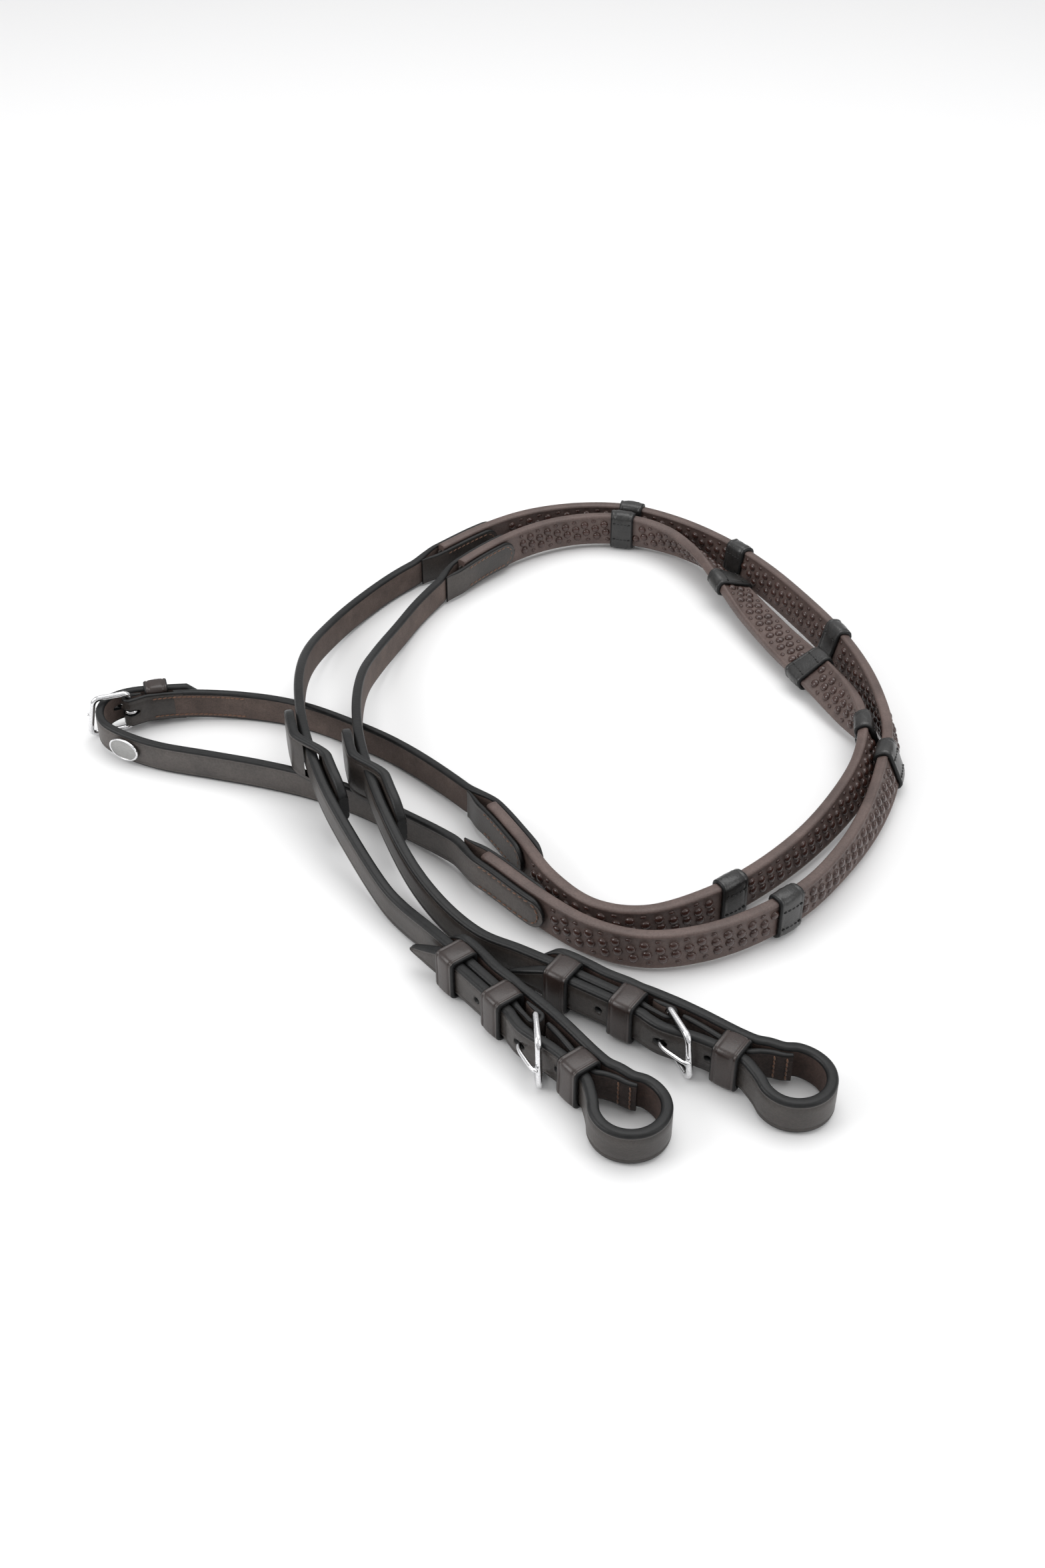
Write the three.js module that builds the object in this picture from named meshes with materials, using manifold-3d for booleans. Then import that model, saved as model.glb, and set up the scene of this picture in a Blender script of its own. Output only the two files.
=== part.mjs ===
// A pair of English riding reins, laid down in one loose turn with every strap standing on its edge.
// Millimetres, +Z up, the surface that they lie on is z = 0.
// Each rein is a hand strap, a rubber-covered grip on a webbing core, a bit strap, and a buckled bit end.
// The two reins join at the hand end in a small buckle.

import * as THREE from 'three';
import { mergeVertices } from 'three/addons/utils/BufferGeometryUtils.js';
import Module from 'manifold-3d';

const wasm = await Module();
wasm.setup();

// ---------- driving dimensions ----------

const STRAP_WIDTH = 16;
const HAND_THICK = 4.2;
const BIT_THICK = 4.8;
const BILLET_WIDTH = 16.5;
const BILLET_THICK = 5;
const SAFE_WIDTH = 15;
const SAFE_THICK = 2.8;
const FOLD_THICK = 2.1;
const SKIVED_EDGE = 1.0;

const GRIP_WIDTH = 19;
const GRIP_THICK = 5.4;
const CORE_WIDTH = 12.6;
const CORE_THICK = 1;
const SPLICE_LEATHER = 3.0;
const SPLICE_TAB = 2.2;
const SPLICE_LENGTH = 60;
const SPLICE_LEAD = 17;

const HAND_STOP_LENGTH = 14;
const HAND_STOP_WALL = 2.0;
const KEEPER_LENGTH = 11.4;
const KEEPER_WALL = 1.8;
const KEEPER_CORNER = 1.6;

const ROD = 1.45;
const FRAME_INNER_HEIGHT = 17.6;
const BIT_FRAME_DEPTH = 20.5;
const BIT_FRAME_TURN = THREE.MathUtils.degToRad(-34);
const HAND_FRAME_DEPTH = 20;
const FRAME_RAKE = { inner: 3.5, outer: 6.5, hand: 4 };
const TONGUE = 1.0;
const TONGUE_SLOT = 4.2;

const SLIP_LENGTH = 68;
const SLIP_WIDTH = 24;
const SLIP_THICK = 4.6;
const SLIP_CLEARANCE = 1.1;

const GAP = 0.35;
const smooth = (x, from, to) => {
  const t = THREE.MathUtils.clamp((x - from) / (to - from), 0, 1);
  return t * t * (3 - 2 * t);
};

const FRAME_HEIGHT = FRAME_INNER_HEIGHT / 2 + ROD;
const END_HEIGHT = FRAME_HEIGHT + ROD + 0.1;

// ---------- where the bit ends and the hand buckle lie ----------

// A bit end is laid out in its own plan: u runs along the strap towards the loop, v to the strap's left.
const bitEnds = {
  inner: { x: 18.5, y: -151, heading: THREE.MathUtils.degToRad(-34.5) },
  outer: { x: -26, y: -142.5, heading: THREE.MathUtils.degToRad(-52) },
};
const HEEL_U = 49;
const HEEL_V = 1.2;
const KEEPER_U = [0, 32, 80];
const LOOP_CENTRE = [107, 2.2];
const LOOP_RADIUS = 14.6;

const handBuckle = { x: -201, y: 47.5, heading: THREE.MathUtils.degToRad(19) };

const endPoint = ({ x, y, heading }, u, v = 0) => [
  x + u * Math.cos(heading) - v * Math.sin(heading),
  y + u * Math.sin(heading) + v * Math.cos(heading),
];

// Height of the strap's middle along a bit end: it drops to the surface past the buckle at both ends.
const endHeight = (u) => {
  const tail = 8 + (END_HEIGHT - 8.6) * smooth(u, -60, 0);
  const toBuckle = 0.6 * smooth(u, 0, 30);
  const toKeeper = 0.8 * smooth(u, 58, 80);
  const toLoop = 2.1 * smooth(u, 86, 112);
  return tail + toBuckle - toKeeper - toLoop;
};

// ---------- the routes ----------

// Chosen points of each rein's middle line: x, y, height of the middle, lean of the top edge outwards.
const straightEnd = (end, lean) => [-45, -24, -6, 12, 30].map((u) => {
  const [x, y] = endPoint(end, u);
  return [x, y, endHeight(u), lean];
});

const innerPoints = [
  [-198, 48.5, 11.8, 0], [-182, 53.5, 10.9, 0], [-165, 56.5, 9.4, 0], [-142, 56, 8, 0],
  [-115, 48.5, 8, 0], [-88, 33.5, 8, 0], [-61, 14, 8, 0], [-36, -12, 9, 0],
  [-16, -39, 11, 0], [-1, -66, 12, 0], [13, -93, 12, 0], [31, -112, 12, 0],
  [54, -116.5, 12, 0], [80, -106, 12, 0], [105, -88, 12, -2], [130, -63, 12.2, -8],
  [151, -35, 12.8, -20], [167, -6, 13, -32], [173, 22, 13.1, -22], [166, 50, 12.8, 25],
  [154, 82, 12, 58], [141, 112, 11, 78], [129, 142, 11, 92], [118, 172, 12, 112],
  [104, 201, 12, 140], [85, 223, 12, 165], [60, 235, 12, 180], [32, 234.5, 12, 180],
  [5, 222.5, 12, 180], [-20, 201, 11.5, 180], [-42, 176, 9.5, 180], [-57, 150, 8.5, 180],
  [-68, 120, 10, 180], [-77, 88, 15, 180], [-82, 58, 21.5, 180], [-82.5, 28, 26, 180],
  [-79.5, -2, 28.4, 180], [-73, -32, 29.2, 180], [-63, -61, 24.5, 180], [-50, -86, 15, 180],
  [-35, -108, 10.2, 180],
  ...straightEnd(bitEnds.inner, 180),
];

const outerPoints = [
  [-166, 62, 9.8, 0], [-183.5, 58.9, 11, 0], [-202, 54.9, 11.7, 0], [-212.4, 47.5, 11.6, 0],
  [-214.4, 37, 11, 0], [-209.5, 27, 10.4, 0], [-196, 18.5, 9, 0], [-178, 11.5, 8, 0],
  [-152, 4.5, 8, 0], [-126, -3, 8, 0], [-101, -12.5, 8, 0], [-77, -26, 8, 0],
  [-56, -42, 8.5, 0], [-35, -60, 10, 0], [-14, -82, 12, 0], [6, -104, 12, 0],
  [28, -123.5, 12, 0], [52, -132.5, 12, 0], [78, -129, 12, 0], [104, -116.5, 12, 0],
  [128, -97, 12, 0], [149, -70, 12.3, -6], [165, -42, 12.8, -18], [177, -12, 13.2, -26],
  [184, 18, 13, -18], [182, 50, 12.5, 0], [176, 82, 12.7, 12], [167, 112, 12.9, 15],
  [153, 145, 12.9, 15], [137, 177, 12.7, 12], [117, 207, 12.3, 6], [92, 232, 12, 0],
  [64, 247, 12, 0], [34, 249, 12, 0], [4, 241, 12, 0], [-22, 225, 11.5, 0],
  [-47, 204, 9.5, 0], [-72, 179, 8.3, 0], [-92, 149, 8.6, 0], [-105, 118, 12, 0],
  [-112.5, 84, 19, 0], [-113.5, 52, 25, 0], [-110, 20, 28.2, 0], [-103, -12, 29.3, 0],
  [-92, -43, 24.5, 0], [-77, -71, 16.5, 0], [-63, -95, 11, 0],
  ...straightEnd(bitEnds.outer, 0),
];

const catmull = (a, b, c, d, t) => {
  const slopeIn = (c - a) / 2;
  const slopeOut = (d - b) / 2;
  const cubic = 2 * b - 2 * c + slopeIn + slopeOut;
  const square = -3 * b + 3 * c - 2 * slopeIn - slopeOut;
  return ((cubic * t + square) * t + slopeIn) * t + b;
};

// A route is a smooth curve through its points, with the distance along it.
class Route {
  constructor(points, perSpan = 16) {
    this.samples = [];
    const last = points.length - 1;
    for (let i = 0; i < last; i += 1) {
      const around = [i - 1, i, i + 1, i + 2].map((k) => points[Math.min(Math.max(k, 0), last)]);
      for (let k = 0; k < perSpan; k += 1) {
        this.samples.push(points[i].map((_, axis) => catmull(...around.map((p) => p[axis]), k / perSpan)));
      }
    }
    this.samples.push(points[last]);
    this.lengths = [0];
    for (let i = 1; i < this.samples.length; i += 1) {
      const [a, b] = [this.samples[i - 1], this.samples[i]];
      this.lengths.push(this.lengths[i - 1] + Math.hypot(b[0] - a[0], b[1] - a[1], b[2] - a[2]));
    }
    this.length = this.lengths[this.lengths.length - 1];
  }

  sample(s) {
    const clamped = Math.min(Math.max(s, 0), this.length);
    let i = this.lengths.findIndex((d) => d > clamped) - 1;
    if (i < 0) i = this.samples.length - 2;
    const t = (clamped - this.lengths[i]) / (this.lengths[i + 1] - this.lengths[i]);
    return this.samples[i].map((v, axis) => v + (this.samples[i + 1][axis] - v) * t);
  }

  // Place and directions at distance s: along the strap, across its thickness, and up its width.
  frame(s) {
    const [x, y, height, lean] = this.sample(s);
    const z = Math.max(height, STRAP_WIDTH / 2);
    const [before, after] = [this.sample(s - 1.5), this.sample(s + 1.5)];
    const along = new THREE.Vector3(after[0] - before[0], after[1] - before[1], 0).normalize();
    const left = new THREE.Vector3(-along.y, along.x, 0);
    const up = new THREE.Vector3(0, 0, 1);
    const angle = THREE.MathUtils.degToRad(lean);
    const width = up.clone().multiplyScalar(Math.cos(angle)).addScaledVector(left, -Math.sin(angle));
    const thick = left.clone().multiplyScalar(Math.cos(angle)).addScaledVector(up, Math.sin(angle));
    return { place: new THREE.Vector3(x, y, z), along, left, width, thick };
  }

  // Distance along the route at which it passes nearest to a point of the plan.
  nearest(x, y, from = 0, to = this.length) {
    let best = from;
    let least = Infinity;
    this.samples.forEach((p, i) => {
      const away = Math.hypot(p[0] - x, p[1] - y);
      if (this.lengths[i] >= from && this.lengths[i] <= to && away < least) {
        least = away;
        best = this.lengths[i];
      }
    });
    return best;
  }
}

const inner = new Route(innerPoints);
const outer = new Route(outerPoints);

// ---------- solids ----------

const flipIfInsideOut = (geometry) => {
  const p = geometry.getAttribute('position');
  const index = geometry.getIndex().array;
  const [a, b, c] = [new THREE.Vector3(), new THREE.Vector3(), new THREE.Vector3()];
  let volume = 0;
  for (let i = 0; i < index.length; i += 3) {
    a.fromBufferAttribute(p, index[i]);
    b.fromBufferAttribute(p, index[i + 1]);
    c.fromBufferAttribute(p, index[i + 2]);
    volume += a.dot(b.cross(c));
  }
  if (volume < 0) {
    for (let i = 0; i < index.length; i += 3) {
      [index[i + 1], index[i + 2]] = [index[i + 2], index[i + 1]];
    }
  }
  return geometry;
};

// A closed solid through rings of points; a closed loop of rings needs no end caps.
const loft = (rings, closed = false) => {
  const sides = rings[0].length;
  const position = rings.flat().flatMap((p) => [p.x, p.y, p.z]);
  const index = [];
  const spans = closed ? rings.length : rings.length - 1;
  for (let r = 0; r < spans; r += 1) {
    const next = (r + 1) % rings.length;
    for (let k = 0; k < sides; k += 1) {
      const [a, b] = [r * sides + k, r * sides + ((k + 1) % sides)];
      const [c, d] = [next * sides + k, next * sides + ((k + 1) % sides)];
      index.push(a, b, d, a, d, c);
    }
  }
  if (!closed) {
    const end = (rings.length - 1) * sides;
    for (let k = 1; k < sides - 1; k += 1) {
      index.push(0, k + 1, k);
      index.push(end, end + k, end + k + 1);
    }
  }
  const geometry = new THREE.BufferGeometry();
  geometry.setAttribute('position', new THREE.Float32BufferAttribute(position, 3));
  geometry.setIndex(index);
  return flipIfInsideOut(geometry);
};

const rectangle = (place, thick, width, halfThick, halfWidth) => [[1, 1], [-1, 1], [-1, -1], [1, -1]].map(
  ([a, b]) => place.clone().addScaledVector(thick, a * halfThick).addScaledVector(width, b * halfWidth),
);

const spread = (from, to, steps) => Array.from({ length: steps + 1 }, (_, i) => from + ((to - from) * i) / steps);

const constant = (value) => () => value;

// A strap of rectangular section along a route; the offset shifts it across the thickness.
const strapAlong = (route, { from, to, steps, width, thick, offset = constant(0) }) => {
  const rings = spread(from, to, steps).map((s) => {
    const f = route.frame(s);
    const place = f.place.clone().addScaledVector(f.thick, offset(s));
    return rectangle(place, f.thick, f.width, thick(s) / 2, width(s) / 2);
  });
  return loft(rings);
};

// A strap standing upright on a plan curve: points are u, v, thickness and, where the strap narrows, the share
// of its width; height gives its middle.
const strapInPlan = (drawn, width, height, perSpan = 4) => {
  const points = drawn.map(([u, v, thick, share = 1]) => [u, v, thick, share]);
  const last = points.length - 1;
  const path = [];
  for (let i = 0; i < last; i += 1) {
    const around = [i - 1, i, i + 1, i + 2].map((k) => points[Math.min(Math.max(k, 0), last)]);
    for (let k = 0; k < perSpan; k += 1) {
      path.push(points[i].map((_, axis) => catmull(...around.map((p) => p[axis]), k / perSpan)));
    }
  }
  path.push(points[last]);
  const up = new THREE.Vector3(0, 0, 1);
  return loft(path.map(([u, v, thick, share], i) => {
    const [a, b] = [path[Math.max(i - 1, 0)], path[Math.min(i + 1, path.length - 1)]];
    const along = new THREE.Vector3(b[0] - a[0], b[1] - a[1], 0).normalize();
    const across = new THREE.Vector3(-along.y, along.x, 0);
    return rectangle(new THREE.Vector3(u, v, height(u)), across, up, thick / 2, (share * width) / 2);
  }));
};

// A round wire along points.
const wire = (points, radius, closed = false, sides = 6) => loft(points.map((p, i) => {
  const count = points.length;
  const before = closed ? points[(i + count - 1) % count] : points[Math.max(i - 1, 0)];
  const after = closed ? points[(i + 1) % count] : points[Math.min(i + 1, count - 1)];
  const along = after.clone().sub(before).normalize();
  const side = new THREE.Vector3().crossVectors(along, wireSide(points)).normalize();
  const other = new THREE.Vector3().crossVectors(along, side);
  return Array.from({ length: sides }, (_, k) => {
    const angle = (k * 2 * Math.PI) / sides;
    return p.clone().addScaledVector(side, radius * Math.cos(angle)).addScaledVector(other, radius * Math.sin(angle));
  });
}), closed);

// A flat curve's own normal, which keeps the wire from twisting.
const wireSide = (points) => {
  const a = points[Math.floor(points.length / 3)].clone().sub(points[0]);
  const b = points[Math.floor((2 * points.length) / 3)].clone().sub(points[0]);
  return new THREE.Vector3().crossVectors(a, b).normalize();
};

const solid = (geometry) => {
  const bare = geometry.clone();
  bare.deleteAttribute('normal');
  bare.deleteAttribute('uv');
  const merged = mergeVertices(bare, 1e-4);
  return new wasm.Manifold(new wasm.Mesh({
    numProp: 3,
    vertProperties: new Float32Array(merged.getAttribute('position').array),
    triVerts: new Uint32Array(merged.getIndex().array),
  }));
};

const geometryOf = (manifold) => {
  const mesh = manifold.getMesh();
  const geometry = new THREE.BufferGeometry();
  geometry.setAttribute('position', new THREE.Float32BufferAttribute(mesh.vertProperties, 3));
  geometry.setIndex(Array.from(mesh.triVerts));
  return geometry;
};

const block = (sx, sy, sz, x, y, z, turn = 0) => new THREE.BoxGeometry(sx, sy, sz)
  .applyMatrix4(new THREE.Matrix4().makeRotationZ(turn).setPosition(x, y, z));

const placed = (geometry, { x, y, heading }) => geometry.clone()
  .applyMatrix4(new THREE.Matrix4().makeRotationZ(heading).setPosition(x, y, 0));

// ---------- materials ----------

const leather = new THREE.MeshStandardMaterial({ color: 0x2e2b2a, roughness: 0.55, metalness: 0 });
const keeperLeather = new THREE.MeshStandardMaterial({ color: 0x3a2c29, roughness: 0.4, metalness: 0 });
const rubber = new THREE.MeshStandardMaterial({ color: 0x5a3a34, roughness: 0.7, metalness: 0 });
const webbing = new THREE.MeshStandardMaterial({ color: 0x2a2422, roughness: 0.9, metalness: 0 });
const steel = new THREE.MeshStandardMaterial({ color: 0xc8c8c8, roughness: 0.18, metalness: 1 });

const reins = new THREE.Group();

const add = (name, geometry, material) => {
  const mesh = new THREE.Mesh(geometry, material);
  mesh.name = name;
  reins.add(mesh);
  return mesh;
};

// ---------- the straps and grips of one rein ----------

const spliceOffset = GRIP_THICK / 2 + GAP + SPLICE_LEATHER / 2;
const tabOffset = GRIP_THICK / 2 + GAP + SPLICE_TAB / 2;

// Stations along each rein: where the splices begin and where the five hand stops sit.
const stations = {
  inner: {
    side: 1,
    handSplice: inner.nearest(-24, -28, 150, 300),
    bitSplice: inner.nearest(-45, 171, 850, 1000),
    stops: [[93, -97], [172.5, 24], [152, 86], [118, 172], [60, 235]],
    slip: [-71, -35],
    slipSide: 1,
  },
  outer: {
    side: -1,
    handSplice: outer.nearest(-29, -66, 200, 400),
    bitSplice: outer.nearest(-60, 191, 900, 1150),
    stops: [[116, -107], [180, 0], [168, 109], [126, 196], [66, 246.5]],
    slip: [-102, -20],
    slipSide: -1,
  },
};

// The strap runs along one face of the rubber and thins there; its end is skived.
const buildHandStrap = (name, route, { side, handSplice }, from) => {
  const to = handSplice + SPLICE_LENGTH;
  return strapAlong(route, {
    from,
    to,
    steps: 40,
    width: constant(STRAP_WIDTH),
    thick: (s) => HAND_THICK + (SPLICE_LEATHER - HAND_THICK) * smooth(s, handSplice, handSplice + SPLICE_LEAD)
      - (SPLICE_LEATHER - SKIVED_EDGE) * smooth(s, to - 8, to),
    offset: (s) => side * spliceOffset * smooth(s, handSplice - 6, handSplice + SPLICE_LEAD),
  });
};

const buildTab = (route, side, from, to, outerEnd) => strapAlong(route, {
  from,
  to,
  steps: 14,
  width: (s) => STRAP_WIDTH - 6 * smooth(Math.abs(s - outerEnd), 10, 0) * smooth(Math.abs(s - outerEnd), 10, 0),
  thick: (s) => SPLICE_TAB - (SPLICE_TAB - SKIVED_EDGE) * (1 - smooth(Math.min(s - from, to - s), 0, 8)),
  offset: (s) => -side * (tabOffset - 1.6 * (1 - smooth(Math.abs(s - outerEnd), SPLICE_LENGTH, SPLICE_LENGTH - 14))),
});

const buildRein = (name, route, place, strapFrom) => {
  const { side, handSplice, bitSplice, stops } = place;
  const rubberFrom = handSplice + SPLICE_LEAD;
  const rubberTo = bitSplice - SPLICE_LEAD;
  const grip = (grow, from, to, steps, width, thick) => strapAlong(route, {
    from,
    to,
    steps,
    width: constant(width + 2 * grow),
    thick: constant(thick + 2 * grow),
  });
  const sleeve = solid(grip(0, rubberFrom, rubberTo, 64, GRIP_WIDTH, GRIP_THICK))
    .subtract(solid(grip(GAP, rubberFrom - 2, rubberTo + 2, 64, CORE_WIDTH, CORE_THICK)));
  add(`${name}_rubber_grip`, geometryOf(sleeve), rubber);
  add(`${name}_grip_core`, grip(0, rubberFrom - 2, rubberTo + 2, 64, CORE_WIDTH, CORE_THICK), webbing);
  add(`${name}_hand_splice_tab`, buildTab(route, side, handSplice, handSplice + SPLICE_LENGTH - 4,
    handSplice + SPLICE_LENGTH - 4), leather);
  add(`${name}_bit_splice_tab`, buildTab(route, side, bitSplice - SPLICE_LENGTH + 4, bitSplice,
    bitSplice - SPLICE_LENGTH + 4), leather);

  stops.forEach(([x, y], i) => {
    const middle = route.nearest(x, y, rubberFrom, rubberTo);
    const [from, to] = [middle - HAND_STOP_LENGTH / 2, middle + HAND_STOP_LENGTH / 2];
    const shell = solid(grip(HAND_STOP_WALL + GAP, from, to, 3, GRIP_WIDTH, GRIP_THICK));
    const bore = solid(grip(0.6, from - 2, to + 2, 4, GRIP_WIDTH, GRIP_THICK));
    add(`${name}_hand_stop_${i + 1}`, geometryOf(shell.subtract(bore)), leather);
  });
  return { rubberFrom, rubberTo, strapFrom };
};

// ---------- buckles ----------

// The frame is one bent wire with rounded corners; its heel bar stands at u = 0 of its own plan. The rake is how
// far the foot of the front bar lies ahead of its head.
const frameWire = (depth, rake) => {
  const corner = 3;
  const high = FRAME_HEIGHT;
  const points = [];
  const corners = [[depth - corner, high - corner, 0], [corner, high - corner, 1],
    [corner, -high + corner, 2], [depth - corner, -high + corner, 3]];
  corners.forEach(([u, z, quarter]) => {
    spread(0, 1, 4).forEach((t) => {
      const angle = ((quarter + t) * Math.PI) / 2;
      const along = u + corner * Math.cos(angle);
      const up = z + corner * Math.sin(angle);
      points.push(new THREE.Vector3(along - (rake * along * up) / (2 * depth * high), 0, up));
    });
  });
  return wire(points, ROD, true);
};

// The tongue curls round the heel bar, passes through the billet and rests on the front bar.
const tongueWire = (heel, reach) => {
  const around = ROD + GAP + TONGUE;
  const curl = spread(-250, 0, 9).map((degrees) => {
    const angle = THREE.MathUtils.degToRad(degrees) + reach.start;
    return new THREE.Vector3(heel[0] + around * Math.cos(angle), heel[1] + around * Math.sin(angle), 0);
  });
  const straight = reach.points.map(([u, v]) => new THREE.Vector3(u, v, 0));
  return wire([...curl, ...straight], TONGUE);
};

// ---------- one bit end ----------

const arc = (centre, radius, fromDegrees, toDegrees, steps, thick) => spread(fromDegrees, toDegrees, steps).map((d) => {
  const angle = THREE.MathUtils.degToRad(d);
  return [centre[0] + radius * Math.cos(angle), centre[1] + radius * Math.sin(angle), thick];
});

const BILLET_FRONT = -(BIT_THICK / 2 + GAP + BILLET_THICK / 2);
const BILLET_BEHIND = BIT_THICK / 2 + GAP + KEEPER_WALL + GAP + BILLET_THICK / 2;

const billetPath = [
  [-24, -9.6, 2.2, 0.22], [-19, -8.0, 3.6, 0.44], [-14, -6.6, 4.6, 0.62], [-8, BILLET_FRONT, 5, 0.84],
  [-3, BILLET_FRONT, 5], [6, BILLET_FRONT, 5], [16, BILLET_FRONT, 5], [26, BILLET_FRONT, 5], [39, BILLET_FRONT, 5],
  [43.5, -6.1, 5], [48, -6.8, 5], [52, -6.8, 5], [58, -5.8, 5], [65, -4.2, 5], [72, -3.2, 5], [78, -3.1, 5],
  [84, -3.2, 5], [88, -3.8, 5], [92, -5.6, 5],
  ...arc(LOOP_CENTRE, LOOP_RADIUS, -135, 135, 12, 5),
  [91, 10.8, 5], [86, 8.9, 5], [80, 8.5, 5], [72, 8.5, 5], [60, 8.6, 5],
  [49, 8.6, 5], [38, 8.0, 5], [32, BILLET_BEHIND, 5], [26, BILLET_BEHIND, 5], [16, 6.8, 5], [6, BILLET_BEHIND, 5],
  [-2, BILLET_BEHIND, 5], [-7.5, 7.0, 4], [-11, 5.4, 2.4, 0.85], [-16, 3.5, SKIVED_EDGE, 0.4],
];

const safePath = [
  [55, 3.0, 2], [58, 3.0, 2.8], [65, 2.6, 2.8], [74, 1.8, 2.8], [81, 1.35, 2.8], [86, 1.7, 2.8],
  [90, 4.6, 2.6], [94, 7.0, 2.6], [97, 8.2, 2.6], [99.4, 9.4, 2.4], [101.4, 10.9, 2],
];

const foldPath = [
  [28, 0, BIT_THICK], [34, -0.2, BIT_THICK - 0.6], [40, -1.0, 2.8], [45, -1.5, FOLD_THICK],
  ...arc([HEEL_U, HEEL_V], ROD + GAP + FOLD_THICK / 2 + 0.1, -90, 90, 8, FOLD_THICK),
  [44.5, 3.9, FOLD_THICK], [40.5, 3.6, SKIVED_EDGE],
];

// A keeper is a closed loop of thin leather round the layers that it holds.
const keeper = (u, vLow, vHigh, height, z) => {
  const ring = (grow) => {
    const [w, h] = [vHigh - vLow + 2 * grow, height + 2 * grow];
    const r = KEEPER_CORNER * 0.4 + grow * 0.8;
    const shape = new THREE.Path();
    shape.moveTo(-w / 2 + r, -h / 2);
    shape.lineTo(w / 2 - r, -h / 2);
    shape.absarc(w / 2 - r, -h / 2 + r, r, -Math.PI / 2, 0);
    shape.lineTo(w / 2, h / 2 - r);
    shape.absarc(w / 2 - r, h / 2 - r, r, 0, Math.PI / 2);
    shape.lineTo(-w / 2 + r, h / 2);
    shape.absarc(-w / 2 + r, h / 2 - r, r, Math.PI / 2, Math.PI);
    shape.lineTo(-w / 2, -h / 2 + r);
    shape.absarc(-w / 2 + r, -h / 2 + r, r, Math.PI, 1.5 * Math.PI);
    return shape.getPoints(2);
  };
  const shape = new THREE.Shape(ring(KEEPER_WALL));
  shape.holes.push(new THREE.Path(ring(0)));
  const geometry = new THREE.ExtrudeGeometry(shape, { depth: KEEPER_LENGTH, bevelEnabled: false, curveSegments: 3 });
  geometry.translate(0, 0, -KEEPER_LENGTH / 2);
  // The shape's x is the strap's v, its y is up, and its depth runs along u.
  const basis = new THREE.Matrix4().makeBasis(
    new THREE.Vector3(0, 1, 0), new THREE.Vector3(0, 0, 1), new THREE.Vector3(1, 0, 0),
  );
  geometry.applyMatrix4(basis);
  geometry.translate(u, (vLow + vHigh) / 2, z);
  return geometryOf(solid(geometry));
};

const buildBitEnd = (name, route, place, lean) => {
  const end = bitEnds[name];
  const { side, bitSplice } = place;
  const level = END_HEIGHT;
  const heelFrame = { x: HEEL_U, y: HEEL_V, heading: BIT_FRAME_TURN };

  // The bit strap: along the rubber's face, along the route, then folded round the heel bar and sewn.
  const strapFrom = bitSplice - SPLICE_LENGTH;
  const strapTo = route.length;
  const run = strapAlong(route, {
    from: strapFrom,
    to: strapTo,
    steps: 62,
    width: constant(STRAP_WIDTH),
    thick: (s) => BIT_THICK + (SPLICE_LEATHER - BIT_THICK) * smooth(s, bitSplice, bitSplice - SPLICE_LEAD)
      - (SPLICE_LEATHER - SKIVED_EDGE) * smooth(s, strapFrom + 8, strapFrom),
    offset: (s) => side * (spliceOffset * smooth(s, bitSplice + 6, bitSplice - SPLICE_LEAD)),
  });
  const fold = strapInPlan(foldPath, STRAP_WIDTH, endHeight);
  const slot = block(10.8, 14, TONGUE_SLOT, HEEL_U + 1, HEEL_V, level);
  const strap = solid(run).add(solid(placed(fold, end))).subtract(solid(placed(slot, end)));
  add(`${name}_bit_strap`, geometryOf(strap), leather);

  const billet = solid(strapInPlan(billetPath, BILLET_WIDTH, endHeight, 2))
    .subtract(solid(block(6.2, 9, 3.6, 51.6, -7, level)));
  add(`${name}_billet`, placed(geometryOf(billet), end), leather);
  add(`${name}_safe`, placed(strapInPlan(safePath, SAFE_WIDTH, endHeight), end), leather);

  const frame = frameWire(BIT_FRAME_DEPTH, FRAME_RAKE[name]).translate(0, 0, level);
  add(`${name}_buckle_frame`, placed(placed(frame, heelFrame), end), steel);
  const front = [HEEL_U + BIT_FRAME_DEPTH * Math.cos(BIT_FRAME_TURN), HEEL_V + BIT_FRAME_DEPTH * Math.sin(BIT_FRAME_TURN)];
  const rest = ROD + GAP + TONGUE;
  const tongue = tongueWire([HEEL_U, HEEL_V], {
    start: THREE.MathUtils.degToRad(-80),
    points: [[50.3, -4.2], [50.8, -6.8], [51.9, -9.4], [54.6, -11.2], [59, -12.3],
      [front[0] - 0.6, front[1] - rest - 0.3], [front[0] + 2.2, front[1] - rest + 0.3]],
  }).translate(0, 0, level);
  add(`${name}_buckle_tongue`, placed(tongue, end), steel);

  const height = BILLET_WIDTH + 2 * GAP;
  const frontFace = BILLET_FRONT - BILLET_THICK / 2 - GAP;
  const backFace = BIT_THICK / 2 + GAP;
  KEEPER_U.slice(0, 2).forEach((u, i) => {
    add(`${name}_keeper_${i + 1}`, placed(keeper(u, frontFace, backFace, height, endHeight(u)), end), keeperLeather);
  });
  add(`${name}_keeper_3`, placed(keeper(KEEPER_U[2], -6.3, 3.5, height, endHeight(KEEPER_U[2])), end), keeperLeather);
};

// ---------- the slip-on rein stop ----------

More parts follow.
